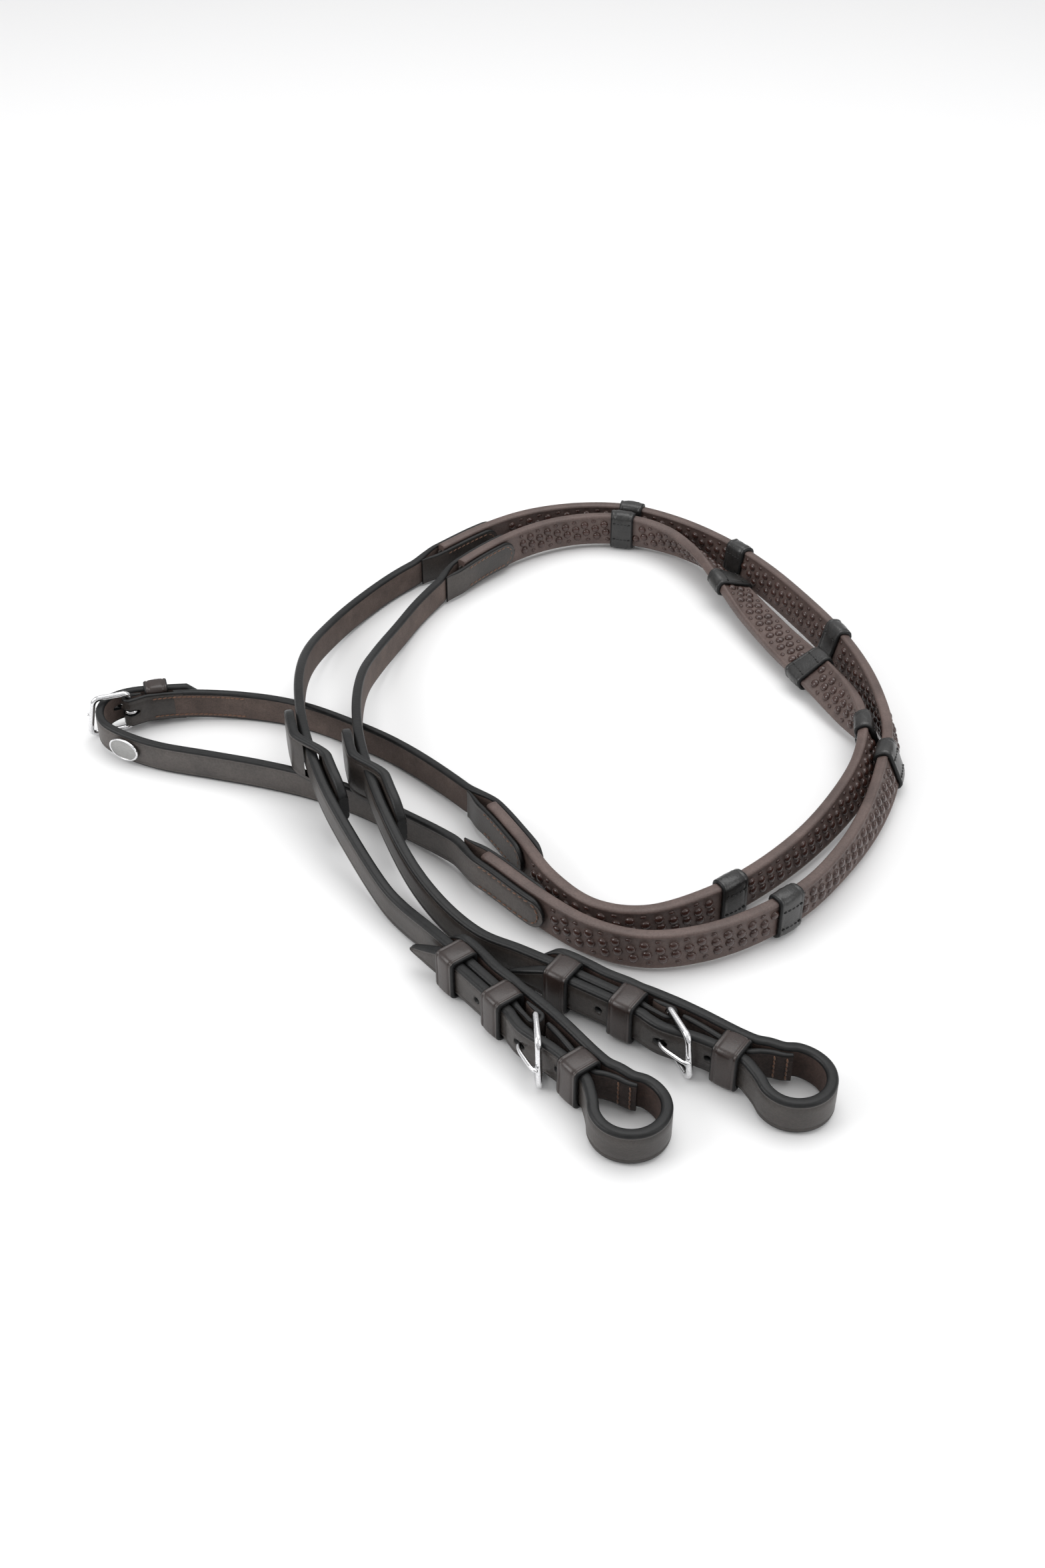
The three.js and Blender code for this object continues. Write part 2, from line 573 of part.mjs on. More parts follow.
// A thick leather tab with one slit: its rear half lies on one face of the strap, its front half on the other.
const buildSlipStop = (name, route, { slip, slipSide }) => {
  const middle = route.nearest(slip[0], slip[1], route.length - 400, route.length - 80);
  const [from, to] = [middle - SLIP_LENGTH / 2, middle + SLIP_LENGTH / 2];
  const swing = BIT_THICK / 2 + SLIP_CLEARANCE + SLIP_THICK / 2;
  const tab = strapAlong(route, {
    from,
    to,
    steps: 24,
    width: (s) => SLIP_WIDTH - 9 * (1 - smooth(Math.min(s - from, to - s), 0, 9)),
    thick: constant(SLIP_THICK),
    offset: (s) => slipSide * swing * (1 - 2 * smooth(s, middle - 11, middle + 11)),
  });
  const slit = strapAlong(route, {
    from: from - 4,
    to: to + 4,
    steps: 28,
    width: constant(STRAP_WIDTH + 2 * SLIP_CLEARANCE),
    thick: constant(BIT_THICK + 2 * SLIP_CLEARANCE - 0.1),
  });
  add(`${name}_rein_stop`, geometryOf(solid(tab).subtract(solid(slit))), leather);
};

// ---------- the hand end ----------

const buildHandEnd = () => {
  const level = END_HEIGHT;
  const heel = { x: 0, y: 0, heading: Math.PI };
  const handStrapInner = buildHandStrap('inner', inner, stations.inner, 19);
  const wrap = ROD + GAP + FOLD_THICK / 2 + 0.1;
  const handFold = [
    ...[24, 20, 15, 10, 5].map((s) => {
      const f = inner.frame(s);
      return [...localOf(f.place.clone().addScaledVector(f.left, -FOLD_THICK / 2 + 0.05)), FOLD_THICK];
    }),
    ...arc([0, 0], wrap, 270, 90, 8, FOLD_THICK),
    [3, FOLD_THICK / 2 + 0.75, FOLD_THICK],
    [6.2, FOLD_THICK / 2 + 0.45, SKIVED_EDGE],
  ];
  const slot = block(11, 14, TONGUE_SLOT, -1.2, 0, level);
  const fold = solid(placed(strapInPlan(handFold, STRAP_WIDTH, handHeight), handBuckle))
    .subtract(solid(placed(slot, handBuckle)));
  add('inner_hand_strap', geometryOf(solid(handStrapInner).add(fold)), leather);

  // The outer rein's end is a punched point that passes through the buckle and lies behind the inner rein.
  const { handSplice } = stations.outer;
  const point = buildHandStrap('outer', outer, stations.outer, 0);
  const tip = outer.frame(0);
  const cutter = [-1, 1].map((sign) => {
    const g = new THREE.BoxGeometry(12, 12, 12);
    g.rotateY(Math.PI / 4);
    const m = new THREE.Matrix4().makeBasis(tip.along, tip.left, new THREE.Vector3(0, 0, 1));
    g.applyMatrix4(m);
    const at = tip.place.clone().addScaledVector(tip.along, -2.5).add(new THREE.Vector3(0, 0, sign * 9.5));
    g.translate(at.x, at.y, at.z);
    return solid(g);
  });
  const hole = solid(placed(block(9, 9, 3.4, -5, 6, level), handBuckle));
  const badgeAt = outer.nearest(-197.5, 19.2, 40, 120);
  const b = outer.frame(badgeAt);
  const bore = studGeometry(b, 1.5 + GAP, 20);
  const outerStrap = solid(point).subtract(cutter[0]).subtract(cutter[1]).subtract(hole).subtract(solid(bore));
  add('outer_hand_strap', geometryOf(outerStrap), leather);
  buildBadge(b);

  const sleeveAt = { ...handBuckle, heading: handBuckle.heading - THREE.MathUtils.degToRad(3) };
  const handKeeper = keeper(14, 2.9, 9.7, STRAP_WIDTH + 2 * GAP, handHeight(14));
  add('hand_keeper', placed(handKeeper, sleeveAt), keeperLeather);

  const frame = frameWire(HAND_FRAME_DEPTH, FRAME_RAKE.hand).translate(0, 0, level);
  add('hand_buckle_frame', placed(placed(frame, heel), handBuckle), steel);
  const rest = ROD + GAP + TONGUE;
  const tongue = tongueWire([0, 0], {
    start: THREE.MathUtils.degToRad(98),
    points: [[-3.0, 3.0], [-5.0, 5.4], [-7.2, 8.4], [-10, 9.6], [-15, 7.6],
      [-HAND_FRAME_DEPTH + 1.0, rest + 0.4], [-HAND_FRAME_DEPTH - 2.2, rest - 0.6]],
  });
  tongue.translate(0, 0, level);
  add('hand_buckle_tongue', placed(tongue, handBuckle), steel);
  return handSplice;
};

const localOf = (p) => {
  const [dx, dy] = [p.x - handBuckle.x, p.y - handBuckle.y];
  const [c, s] = [Math.cos(handBuckle.heading), Math.sin(handBuckle.heading)];
  return [dx * c + dy * s, -dx * s + dy * c];
};

const handHeight = (u) => 8 + (END_HEIGHT - 8) * (1 - smooth(u, 0, 62));

const studGeometry = (f, radius, length) => {
  const g = new THREE.CylinderGeometry(radius, radius, length, 12);
  g.applyMatrix4(new THREE.Matrix4().makeBasis(f.along, f.left.clone().negate(), f.width.clone().negate()));
  g.translate(f.place.x, f.place.y, f.place.z);
  return g;
};

// The badge is a plain oval plate on a stud that is riveted over a washer behind the strap.
const buildBadge = (f) => {
  const outward = f.left.clone().negate();
  const face = HAND_THICK / 2 + GAP + 0.5;
  const plate = new THREE.CylinderGeometry(1, 1, 1.4, 28);
  plate.scale(8.7, 1, 6.2);
  const turned = new THREE.Matrix4().makeBasis(f.along, outward, f.width.clone().negate());
  plate.applyMatrix4(turned);
  const at = f.place.clone().addScaledVector(outward, face + 0.7);
  plate.translate(at.x, at.y, at.z);
  const stud = studGeometry(f, 1.5, HAND_THICK + 2 * GAP + 3.2);
  const badge = solid(plate).add(solid(stud));
  add('badge_plate', geometryOf(badge), steel);
  const washer = new THREE.CylinderGeometry(3.2, 3.2, 0.9, 16);
  const bore = new THREE.CylinderGeometry(1.5 + GAP, 1.5 + GAP, 4, 12);
  const ring = solid(washer).subtract(solid(bore));
  const ringGeometry = geometryOf(ring);
  ringGeometry.applyMatrix4(turned);
  const back = f.place.clone().addScaledVector(outward, -(HAND_THICK / 2 + GAP + 0.7));
  ringGeometry.translate(back.x, back.y, back.z);
  add('badge_washer', ringGeometry, steel);
};

// ---------- assembly ----------

buildHandEnd();
buildRein('inner', inner, stations.inner);
buildRein('outer', outer, stations.outer);
buildBitEnd('inner', inner, stations.inner);
buildBitEnd('outer', outer, stations.outer);
buildSlipStop('inner', inner, stations.inner);
buildSlipStop('outer', outer, stations.outer);

// The part's frame: the middle of its box in plan, and the surface that it rests on.
const box = new THREE.Box3().setFromObject(reins);
const middle = box.getCenter(new THREE.Vector3());
reins.children.forEach((mesh) => mesh.geometry.translate(-middle.x, -middle.y, -box.min.z));

export default reins;
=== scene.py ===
# %% [markdown]
# # A pair of leather reins, piece by piece
# Reins are long flat straps, so nearly everything here is one idea: a drawn section carried along a route.
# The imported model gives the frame. Every visible piece is laid over the part that it stands for, in metres.

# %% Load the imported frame
import math
import bpy
import numpy as np
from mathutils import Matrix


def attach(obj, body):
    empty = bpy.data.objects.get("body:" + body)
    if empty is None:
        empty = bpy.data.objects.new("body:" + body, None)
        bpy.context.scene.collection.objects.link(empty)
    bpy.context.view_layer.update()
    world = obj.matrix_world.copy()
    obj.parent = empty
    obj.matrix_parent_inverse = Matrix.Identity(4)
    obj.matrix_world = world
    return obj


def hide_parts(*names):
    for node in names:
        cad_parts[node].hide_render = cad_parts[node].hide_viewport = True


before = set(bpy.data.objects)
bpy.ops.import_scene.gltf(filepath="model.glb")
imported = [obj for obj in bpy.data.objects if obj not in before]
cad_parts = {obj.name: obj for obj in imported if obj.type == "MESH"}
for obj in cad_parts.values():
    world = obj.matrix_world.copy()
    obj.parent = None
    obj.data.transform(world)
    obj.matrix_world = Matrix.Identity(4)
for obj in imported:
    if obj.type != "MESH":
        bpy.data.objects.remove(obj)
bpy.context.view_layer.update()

MM = 0.001    # one millimetre in metres


def add(name, data):
    thing = bpy.data.objects.new(name, data)
    bpy.context.collection.objects.link(thing)
    return thing


# %% [markdown]
# ## Where we stand
# The reins lie on a table and are seen from their front, a little under forty degrees above the surface.
# A 40 mm lens from less than a metre away gives a mild perspective.

# %% Camera
camera = add("Camera", bpy.data.cameras.new("Camera"))
camera.data.lens = 40
camera.data.sensor_width = 36
camera.data.clip_start = 0.01
camera.location = (0.0161, -0.69113, 0.52626)
camera.rotation_euler = (math.radians(90 - 37.5), 0, 0)
bpy.context.scene.camera = camera
print("camera at", tuple(camera.location))

# %% [markdown]
# ## Light and table
# Dark leather needs large soft lights, or it turns into a silhouette. The room itself is bright overhead
# and dimmer near its walls, so cut edges stay dark while the table stays white. One broad panel above gives
# the soft shadow, and a lower panel from the left draws a pale line along the rounded edges and the steel.

# %% Light and table
def panel(name, place, aim, size, power):
    light = add(name, bpy.data.lights.new(name, "AREA"))
    light.data.shape = "RECTANGLE"
    light.data.size, light.data.size_y = size
    light.data.energy = power
    light.location = place
    toward = np.array(aim, float) - np.array(place, float)
    flat = math.hypot(toward[0], toward[1])
    heading = math.atan2(toward[1], toward[0]) - math.pi / 2
    light.rotation_euler = (math.atan2(flat, -toward[2]), 0, heading)


panel("Overhead", (0.25, 0.5, 1.7), (0, 0, 0), (1.8, 1.2), 15)
panel("Left_window", (-1.3, -0.4, 0.9), (0, 0, 0), (0.9, 0.9), 10)
panel("Right_window", (1.3, -0.7, 0.8), (0, 0, 0), (0.6, 0.9), 4)


def room_light():
    """A white room that is bright overhead and dimmer near its walls."""
    world = bpy.data.worlds.new("Room")
    world.use_nodes = True
    nodes, links = world.node_tree.nodes, world.node_tree.links
    way = nodes.new("ShaderNodeTexCoord")
    parts = nodes.new("ShaderNodeSeparateXYZ")
    ramp = nodes.new("ShaderNodeValToRGB")
    for stop, grey in ((0.0, 0.45), (0.45, 0.62), (1.0, 1.75)):
        spot = ramp.color_ramp.elements[0] if stop == 0 else ramp.color_ramp.elements.new(stop)
        spot.position, spot.color = stop, (grey, grey, grey * 1.01, 1)
    links.new(way.outputs["Generated"], parts.inputs["Vector"])
    links.new(parts.outputs["Z"], ramp.inputs["Fac"])
    links.new(ramp.outputs["Color"], nodes["Background"].inputs["Color"])
    return world


bpy.context.scene.world = room_light()
bpy.context.scene.view_settings.view_transform = "Standard"

floor_mesh = bpy.data.meshes.new("Table")
floor_mesh.from_pydata([(-4, -4, 0), (4, -4, 0), (4, 4, 0), (-4, 4, 0)], [], [(0, 1, 2, 3)])
table = add("Table", floor_mesh)
table.location.z = -0.0004
print("three panels, one table")

# %% [markdown]
# ## Finishes
# A finish is a small graph of nodes. Leather needs three things: a colour that is not quite even, pores
# that catch the light, and a shine that changes with handling. The helper takes the two colours between
# which the surface wanders, and the size and depth of its grain, so that each kind of leather is one short
# call.

# %% A helper for uneven, grained surfaces
def ramp(nodes, *stops):
    node = nodes.new("ShaderNodeValToRGB")
    for spot, (position, colour) in zip(node.color_ramp.elements, stops):
        spot.position, spot.color = position, (*colour, 1)
    return node


def finish(name, dark, light, rough, grain=900, depth=0.00012, patch=45, metal=0.0, sheen=0.0, coat=0.0,
        stretch=(1, 1, 1), shine=0.5):
    material = bpy.data.materials.new(name)
    material.use_nodes = True
    nodes, links = material.node_tree.nodes, material.node_tree.links
    shader = nodes["Principled BSDF"]
    shader.inputs["Metallic"].default_value = metal
    shader.inputs["Sheen Weight"].default_value = sheen
    shader.inputs["Specular IOR Level"].default_value = shine
    shader.inputs["Coat Weight"].default_value = coat
    shader.inputs["Coat Roughness"].default_value = 0.25
    where = nodes.new("ShaderNodeTexCoord")
    scale = nodes.new("ShaderNodeMapping")
    scale.inputs["Scale"].default_value = stretch
    links.new(where.outputs["Object"], scale.inputs["Vector"])

    patches = nodes.new("ShaderNodeTexNoise")
    patches.inputs["Scale"].default_value = patch
    patches.inputs["Detail"].default_value = 6
    patches.inputs["Roughness"].default_value = 0.62
    links.new(scale.outputs["Vector"], patches.inputs["Vector"])
    colours = ramp(nodes, (0.3, dark), (0.72, light))
    links.new(patches.outputs["Fac"], colours.inputs["Fac"])

    pores = nodes.new("ShaderNodeTexVoronoi")
    pores.feature = "DISTANCE_TO_EDGE"
    pores.inputs["Scale"].default_value = grain
    links.new(scale.outputs["Vector"], pores.inputs["Vector"])
    fine = nodes.new("ShaderNodeTexNoise")
    fine.inputs["Scale"].default_value = grain * 0.8
    fine.inputs["Detail"].default_value = 4
    links.new(scale.outputs["Vector"], fine.inputs["Vector"])
    shade = nodes.new("ShaderNodeMix")
    shade.data_type = "RGBA"
    shade.blend_type = "MULTIPLY"
    shade.inputs["Factor"].default_value = 0.45
    links.new(colours.outputs["Color"], shade.inputs["A"])
    tone = ramp(nodes, (0.35, (0.45, 0.45, 0.45)), (0.6, (1, 1, 1)))
    links.new(fine.outputs["Fac"], tone.inputs["Fac"])
    links.new(tone.outputs["Color"], shade.inputs["B"])
    links.new(shade.outputs["Result"], shader.inputs["Base Color"])

    gloss = nodes.new("ShaderNodeMapRange")
    gloss.inputs["To Min"].default_value = rough[0]
    gloss.inputs["To Max"].default_value = rough[1]
    links.new(patches.outputs["Fac"], gloss.inputs["Value"])
    links.new(gloss.outputs["Result"], shader.inputs["Roughness"])

    first = nodes.new("ShaderNodeBump")
    first.inputs["Distance"].default_value = depth
    first.inputs["Strength"].default_value = 0.7
    links.new(pores.outputs["Distance"], first.inputs["Height"])
    second = nodes.new("ShaderNodeBump")
    second.inputs["Distance"].default_value = depth * 1.6
    second.inputs["Strength"].default_value = 0.5
    links.new(fine.outputs["Fac"], second.inputs["Height"])
    links.new(first.outputs["Normal"], second.inputs["Normal"])
    links.new(second.outputs["Normal"], shader.inputs["Normal"])
    return material


# %% [markdown]
# ## The finishes of the reins
# The grain side is waxed and nearly black-brown. The flesh side is the same hide seen from inside: paler,
# dull and fibrous. Cut edges are dyed and burnished. Keepers are pressed from glossier brown leather. The
# rubber is a dull red-brown whose pimples are rubbed darker and shinier at their tops by gloves.

# %% The finishes of the reins
grain_side = finish("Leather_grain", (0.021, 0.0178, 0.016), (0.056, 0.0465, 0.041), (0.3, 0.5), 1100,
    0.00010, 38)
# The hand straps get a lighter copy of the grain finish: painted light, for the brighter reflection of the
# white table that their faces catch.
hand_grain_painted_light = finish("Hand_leather_painted_light", (0.045, 0.0385, 0.035), (0.1, 0.086, 0.078), (0.34, 0.52), 1100,
    0.00010, 38)
flesh_side = finish("Leather_flesh", (0.062, 0.042, 0.035), (0.125, 0.09, 0.076), (0.66, 0.86), 1500,
    0.00016, 90)
loop_flesh = finish("Loop_flesh", (0.03, 0.0165, 0.013), (0.075, 0.045, 0.036), (0.7, 0.9), 1300, 0.0002,
    160)
cut_edge = finish("Leather_edge", (0.0055, 0.0058, 0.006), (0.0125, 0.0128, 0.0132), (0.34, 0.5), 700,
    0.00008, 120, shine=0.3)
lining_side = finish("Lining_leather", (0.018, 0.0115, 0.0095), (0.05, 0.034, 0.029), (0.6, 0.85), 1000,
    0.0003, 200)
keeper_side = finish("Keeper_leather", (0.019, 0.0118, 0.01), (0.034, 0.0218, 0.0184), (0.26, 0.38), 1300,
    0.00005, 70, coat=0.1)
stop_side = finish("Stop_leather", (0.008, 0.0079, 0.0077), (0.024, 0.023, 0.022), (0.2, 0.45), 1000,
    0.00016, 170, coat=0.15)
rubber = finish("Grip_rubber", (0.075, 0.05, 0.0435), (0.13, 0.09, 0.079), (0.42, 0.62), 1600, 0.00006,
    60)
rubber_tip = finish("Grip_rubber_tip", (0.034, 0.0145, 0.011), (0.06, 0.027, 0.0212), (0.13, 0.22), 1600,
    0.00002, 60, coat=0.3, shine=0.45)
thread = finish("Waxed_thread", (0.1, 0.045, 0.024), (0.2, 0.1, 0.055), (0.5, 0.65), 3000, 0.00008, 400,
    sheen=0.2)
black_thread = finish("Black_thread", (0.002, 0.002, 0.002), (0.006, 0.0055, 0.005), (0.5, 0.65), 3000,
    0.00008, 400)
steel = finish("Polished_steel", (0.78, 0.78, 0.79), (0.9, 0.9, 0.91), (0.05, 0.16), 2500, 0.00001, 30,
    metal=1.0)
satin = finish("Satin_plate", (0.3, 0.3, 0.295), (0.46, 0.455, 0.445), (0.26, 0.42), 1800, 0.00002, 30,
    metal=1.0, stretch=(0.2, 1, 6))
webbing = finish("Webbing", (0.025, 0.021, 0.018), (0.06, 0.05, 0.045), (0.85, 0.95), 1400, 0.0003, 300,
    stretch=(1, 1, 3))
print("finishes:", len([m for m in bpy.data.materials if m.use_nodes]))

# %% [markdown]
# ## The table's finish
# The table is a dull white that wanders a little, so that its brightness comes from the room and not from
# it.

# %% Table finish
def table_finish():
    material = bpy.data.materials.new("Table_white")
    material.use_nodes = True
    nodes, links = material.node_tree.nodes, material.node_tree.links
    shader = nodes["Principled BSDF"]
    noise = nodes.new("ShaderNodeTexNoise")
    noise.inputs["Scale"].default_value = 3
    colours = ramp(nodes, (0, (0.85, 0.85, 0.85)), (1, (0.88, 0.88, 0.88)))
    links.new(noise.outputs["Fac"], colours.inputs["Fac"])
    links.new(colours.outputs["Color"], shader.inputs["Base Color"])
    shader.inputs["Roughness"].default_value = 0.7
    shader.inputs["Specular IOR Level"].default_value = 0.2
    return material


table.data.materials.append(table_finish())
print("table finish:", table.data.materials[0].name)

# %% [markdown]
# ## The route of each rein
# A rein is as long as its hide allows, so it is easier to say where it goes than what shape it has. Each
# route is a list: x and y in the plan, the height of the strap's middle, and how far its top
# edge leans outwards. A smooth curve joins the points. The inner rein turns half over on the right, as a
# strap does when it is dropped on a table, so its lean goes from 0 to 180 degrees.

# %% The points of both routes
SHIFT = np.array([16.096, -5.328, 0.061])
STRAP, HAND_THICK, BIT_THICK = 16, 4.2, 4.8
GRIP, GRIP_THICK, LEATHER_THIN, TAB = 19, 5.4, 3.0, 2.2
ROD, TONGUE, GAP, FOLD = 1.45, 1.0, 0.35, 2.1
FRAME_HIGH = 17.6 / 2 + ROD
END_HIGH = FRAME_HIGH + ROD + 0.1
SPLICE, LEAD = 60, 17
TIP_SKIVE, TIP_ROUND = 1.6, 8


def smooth(x, start, end):
    t = np.clip((np.asarray(x, float) - start) / (end - start), 0, 1)
    return t * t * (3 - 2 * t)


def end_height(u):
    tail = 8 + (END_HIGH - 8.6) * smooth(u, -60, 0)
    return tail + 0.6 * smooth(u, 0, 30) - 0.8 * smooth(u, 58, 80) - 2.1 * smooth(u, 86, 112)


bit_ends = {"inner": (18.5, -151, math.radians(-34.5)), "outer": (-26, -142.5, math.radians(-52))}
hand_buckle = (-201, 47.5, math.radians(19))


def to_plan(place, u, v):
    x, y, turn = place
    u, v = np.asarray(u, float), np.asarray(v, float)
    return x + u * math.cos(turn) - v * math.sin(turn), y + u * math.sin(turn) + v * math.cos(turn)


def straight_end(name, lean):
    return [(*map(float, to_plan(bit_ends[name], u, 0)), float(end_height(u)), lean) for u in (-45, -24,
        -6, 12, 30)]


inner_points = [
    (-198, 48.5, 11.8, 0), (-182, 53.5, 10.9, 0), (-165, 56.5, 9.4, 0), (-142, 56, 8, 0),
    (-115, 48.5, 8, 0), (-88, 33.5, 8, 0), (-61, 14, 8, 0), (-36, -12, 9, 0),
    (-16, -39, 11, 0), (-1, -66, 12, 0), (13, -93, 12, 0), (31, -112, 12, 0),
    (54, -116.5, 12, 0), (80, -106, 12, 0), (105, -88, 12, -2), (130, -63, 12.2, -8),
    (151, -35, 12.8, -20), (167, -6, 13, -32), (173, 22, 13.1, -22), (166, 50, 12.8, 25),
    (154, 82, 12, 58), (141, 112, 11, 78), (129, 142, 11, 92), (118, 172, 12, 112),
    (104, 201, 12, 140), (85, 223, 12, 165), (60, 235, 12, 180), (32, 234.5, 12, 180),
    (5, 222.5, 12, 180), (-20, 201, 11.5, 180), (-42, 176, 9.5, 180), (-57, 150, 8.5, 180),
    (-68, 120, 10, 180), (-77, 88, 15, 180), (-82, 58, 21.5, 180), (-82.5, 28, 26, 180),
    (-79.5, -2, 28.4, 180), (-73, -32, 29.2, 180), (-63, -61, 24.5, 180), (-50, -86, 15, 180),
    (-35, -108, 10.2, 180), *straight_end("inner", 180),
]
outer_points = [
    (-166, 62, 9.8, 0), (-183.5, 58.9, 11, 0), (-202, 54.9, 11.7, 0), (-212.4, 47.5, 11.6, 0),
    (-214.4, 37, 11, 0), (-209.5, 27, 10.4, 0), (-196, 18.5, 9, 0), (-178, 11.5, 8, 0),
    (-152, 4.5, 8, 0), (-126, -3, 8, 0), (-101, -12.5, 8, 0), (-77, -26, 8, 0),
    (-56, -42, 8.5, 0), (-35, -60, 10, 0), (-14, -82, 12, 0), (6, -104, 12, 0),
    (28, -123.5, 12, 0), (52, -132.5, 12, 0), (78, -129, 12, 0), (104, -116.5, 12, 0),
    (128, -97, 12, 0), (149, -70, 12.3, -6), (165, -42, 12.8, -18), (177, -12, 13.2, -26),
    (184, 18, 13, -18), (182, 50, 12.5, 0), (176, 82, 12.7, 12), (167, 112, 12.9, 15),
    (153, 145, 12.9, 15), (137, 177, 12.7, 12), (117, 207, 12.3, 6), (92, 232, 12, 0),
    (64, 247, 12, 0), (34, 249, 12, 0), (4, 241, 12, 0), (-22, 225, 11.5, 0),
    (-47, 204, 9.5, 0), (-72, 179, 8.3, 0), (-92, 149, 8.6, 0), (-105, 118, 12, 0),
    (-112.5, 84, 19, 0), (-113.5, 52, 25, 0), (-110, 20, 28.2, 0), (-103, -12, 29.3, 0),
    (-92, -43, 24.5, 0), (-77, -71, 16.5, 0), (-63, -95, 11, 0), *straight_end("outer", 0),
]
print("route points:", len(inner_points), len(outer_points))

# %% [markdown]
# ## Distance along a route
# Everything on a rein is placed by its distance along the strap: a stop at 374 mm, a splice from 205 mm. So
# a route knows its own length, and gives at any distance the strap's middle and its three directions:
# along, up its width and through its thickness.

# %% A route that measures itself
def curve_through(points, per_span):
    p = np.array(points, float)
    pad = np.vstack([p[:1], p, p[-1:]])
    t = np.linspace(0, 1, per_span, endpoint=False)[:, None]
    spans = []
    for i in range(len(p) - 1):
        a, b, c, d = pad[i:i + 4]
        m, n = (c - a) / 2, (d - b) / 2
        spans.append((((2 * b - 2 * c + m + n) * t + (-3 * b + 3 * c - 2 * m - n)) * t + m) * t + b)
    return np.vstack([*spans, p[-1:]])


class Route:
    def __init__(self, points):
        self.samples = curve_through(points, 16)
        steps = np.linalg.norm(np.diff(self.samples[:, :3], axis=0), axis=1)
        self.lengths = np.concatenate([[0], np.cumsum(steps)])
        self.length = self.lengths[-1]

    def sample(self, s):
        return np.stack([np.interp(s, self.lengths, column) for column in self.samples.T], axis=-1)

    def frames(self, s):
        s = np.atleast_1d(np.asarray(s, float))
        here = self.sample(s)
        along = self.sample(s + 1.5)[:, :2] - self.sample(s - 1.5)[:, :2]
        along /= np.linalg.norm(along, axis=1)[:, None]
        zero = np.zeros((len(s), 1))
        left = np.hstack([-along[:, 1:], along[:, :1], zero])
        up = np.hstack([zero, zero, zero + 1])
        lean = np.radians(here[:, 3:4])
        place = np.hstack([here[:, :2], np.maximum(here[:, 2:3], STRAP / 2)])
        return {
            "place": place,
            "along": np.hstack([along, zero]),
            "width": up * np.cos(lean) - left * np.sin(lean),
            "thick": left * np.cos(lean) + up * np.sin(lean),
        }

    def nearest(self, x, y, start=0.0, end=1e9):
        away = np.hypot(self.samples[:, 0] - x, self.samples[:, 1] - y)
        away[(self.lengths < start) | (self.lengths > end)] = 1e9
        return float(self.lengths[np.argmin(away)])


routes = {"inner": Route(inner_points), "outer": Route(outer_points)}
print({name: round(float(r.length)) for name, r in routes.items()}, "mm long")

# %% [markdown]
# ## Skin over a row of sections
# A loft joins section after section with four-sided faces, and is the plain way to make any strap. Each
# strip round the section can have its own finish, which is how one strap gets a grain side, a flesh side
# and edges.

# %% Loft
def loft(name, rings, finishes, strips=None, closed=False, rows=None):
    n, k = rings.shape[:2]
    verts = (rings.reshape(-1, 3) + SHIFT) * MM
    i = np.arange(n if closed else n - 1)[:, None]
    j = np.arange(k)[None, :]
    after, beside = (i + 1) % n, (j + 1) % k
    quads = np.stack([i * k + j, i * k + beside, after * k + beside, after * k + j], axis=-1).reshape(-1,
        4)
    centre = verts.mean(axis=0)
    a, b, c, d = [verts[quads[:, m]] - centre for m in range(4)]
    volume = np.einsum("ij,ij->i", a, np.cross(b, c)).sum() + np.einsum("ij,ij->i", a,
        np.cross(c, d)).sum()
    faces = quads.tolist()
    if not closed:
        faces += [list(range(k))[::-1], [(n - 1) * k + m for m in range(k)]]
    mesh = bpy.data.meshes.new(name)
    mesh.from_pydata(verts.tolist(), [], faces)
    for material in finishes:
        mesh.materials.append(material)
    side = np.zeros(k, int) if strips is None else np.asarray(strips)
    indices = (np.tile(side, len(i)) if rows is None else np.repeat(rows, k)).tolist()
    if not closed:
        indices += [min(len(finishes) - 1, 2)] * 2
    mesh.polygons.foreach_set("material_index", indices)
    mesh.polygons.foreach_set("use_smooth", [True] * len(quads) + [False] * (len(faces) - len(quads)))
    if volume < 0:
        mesh.flip_normals()
    mesh.update()
    return add(name, mesh)


def settle(thing, body="reins", stands_for=()):
    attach(thing, body)
    if stands_for:
        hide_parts(*stands_for)
    return thing


# %% [markdown]
# ## The section of a strap
# A bridle strap is not a plain bar. Its corners are rounded over, and a hot creasing iron runs a groove
# about two and a half millimetres inside each edge. The section has that groove drawn in, so that it
# catches real light along the whole strap.

# %% Section of a strap
def section(width, thick, grain=1, crease=0.32, inset=2.5, back_crease=0.0):
    width, thick = np.broadcast_arrays(np.atleast_1d(np.asarray(width, float)),
        np.atleast_1d(np.asarray(thick, float)))
    half, t = width / 2, thick / 2
    r = np.minimum(np.minimum(1.5, thick * 0.4), width * 0.3)
    c = np.maximum(half - inset, half * 0.4)
    fade = np.clip(thick / 3.5, 0.2, 1)
    rows = []

    def face(side, way, depth):
        spots = [(-(half - r), 0), (-(c + 0.5), 0), (-c, depth), (-(c - 0.5), 0), (-c * 0.5, -0.05),
            (c * 0.5, -0.05),
                 (c - 0.5, 0), (c, depth), (c + 0.5, 0), (half - r, 0)]
        for w, dip in spots:
            rows.append(np.stack([side * (t - dip * fade), way * w], axis=-1))

    def edge(side, way):
        for turned, degrees in ((side, (30, 60, 90)), (-side, (90, 60, 30))):
            for angle in map(math.radians, degrees):
                across, up = t - r + r * math.cos(angle), half - r + r * math.sin(angle)
                rows.append(np.stack([turned * across, way * up], axis=-1))

    face(1, 1, crease if grain > 0 else back_crease)
    edge(1, 1)
    face(-1, -1, crease if grain < 0 else back_crease)
    edge(-1, -1)
    strips = np.full(len(rows), 2)
    strips[0:9] = 0 if grain > 0 else 1
    strips[16:25] = 1 if grain > 0 else 0
    return np.stack(rows, axis=1), strips


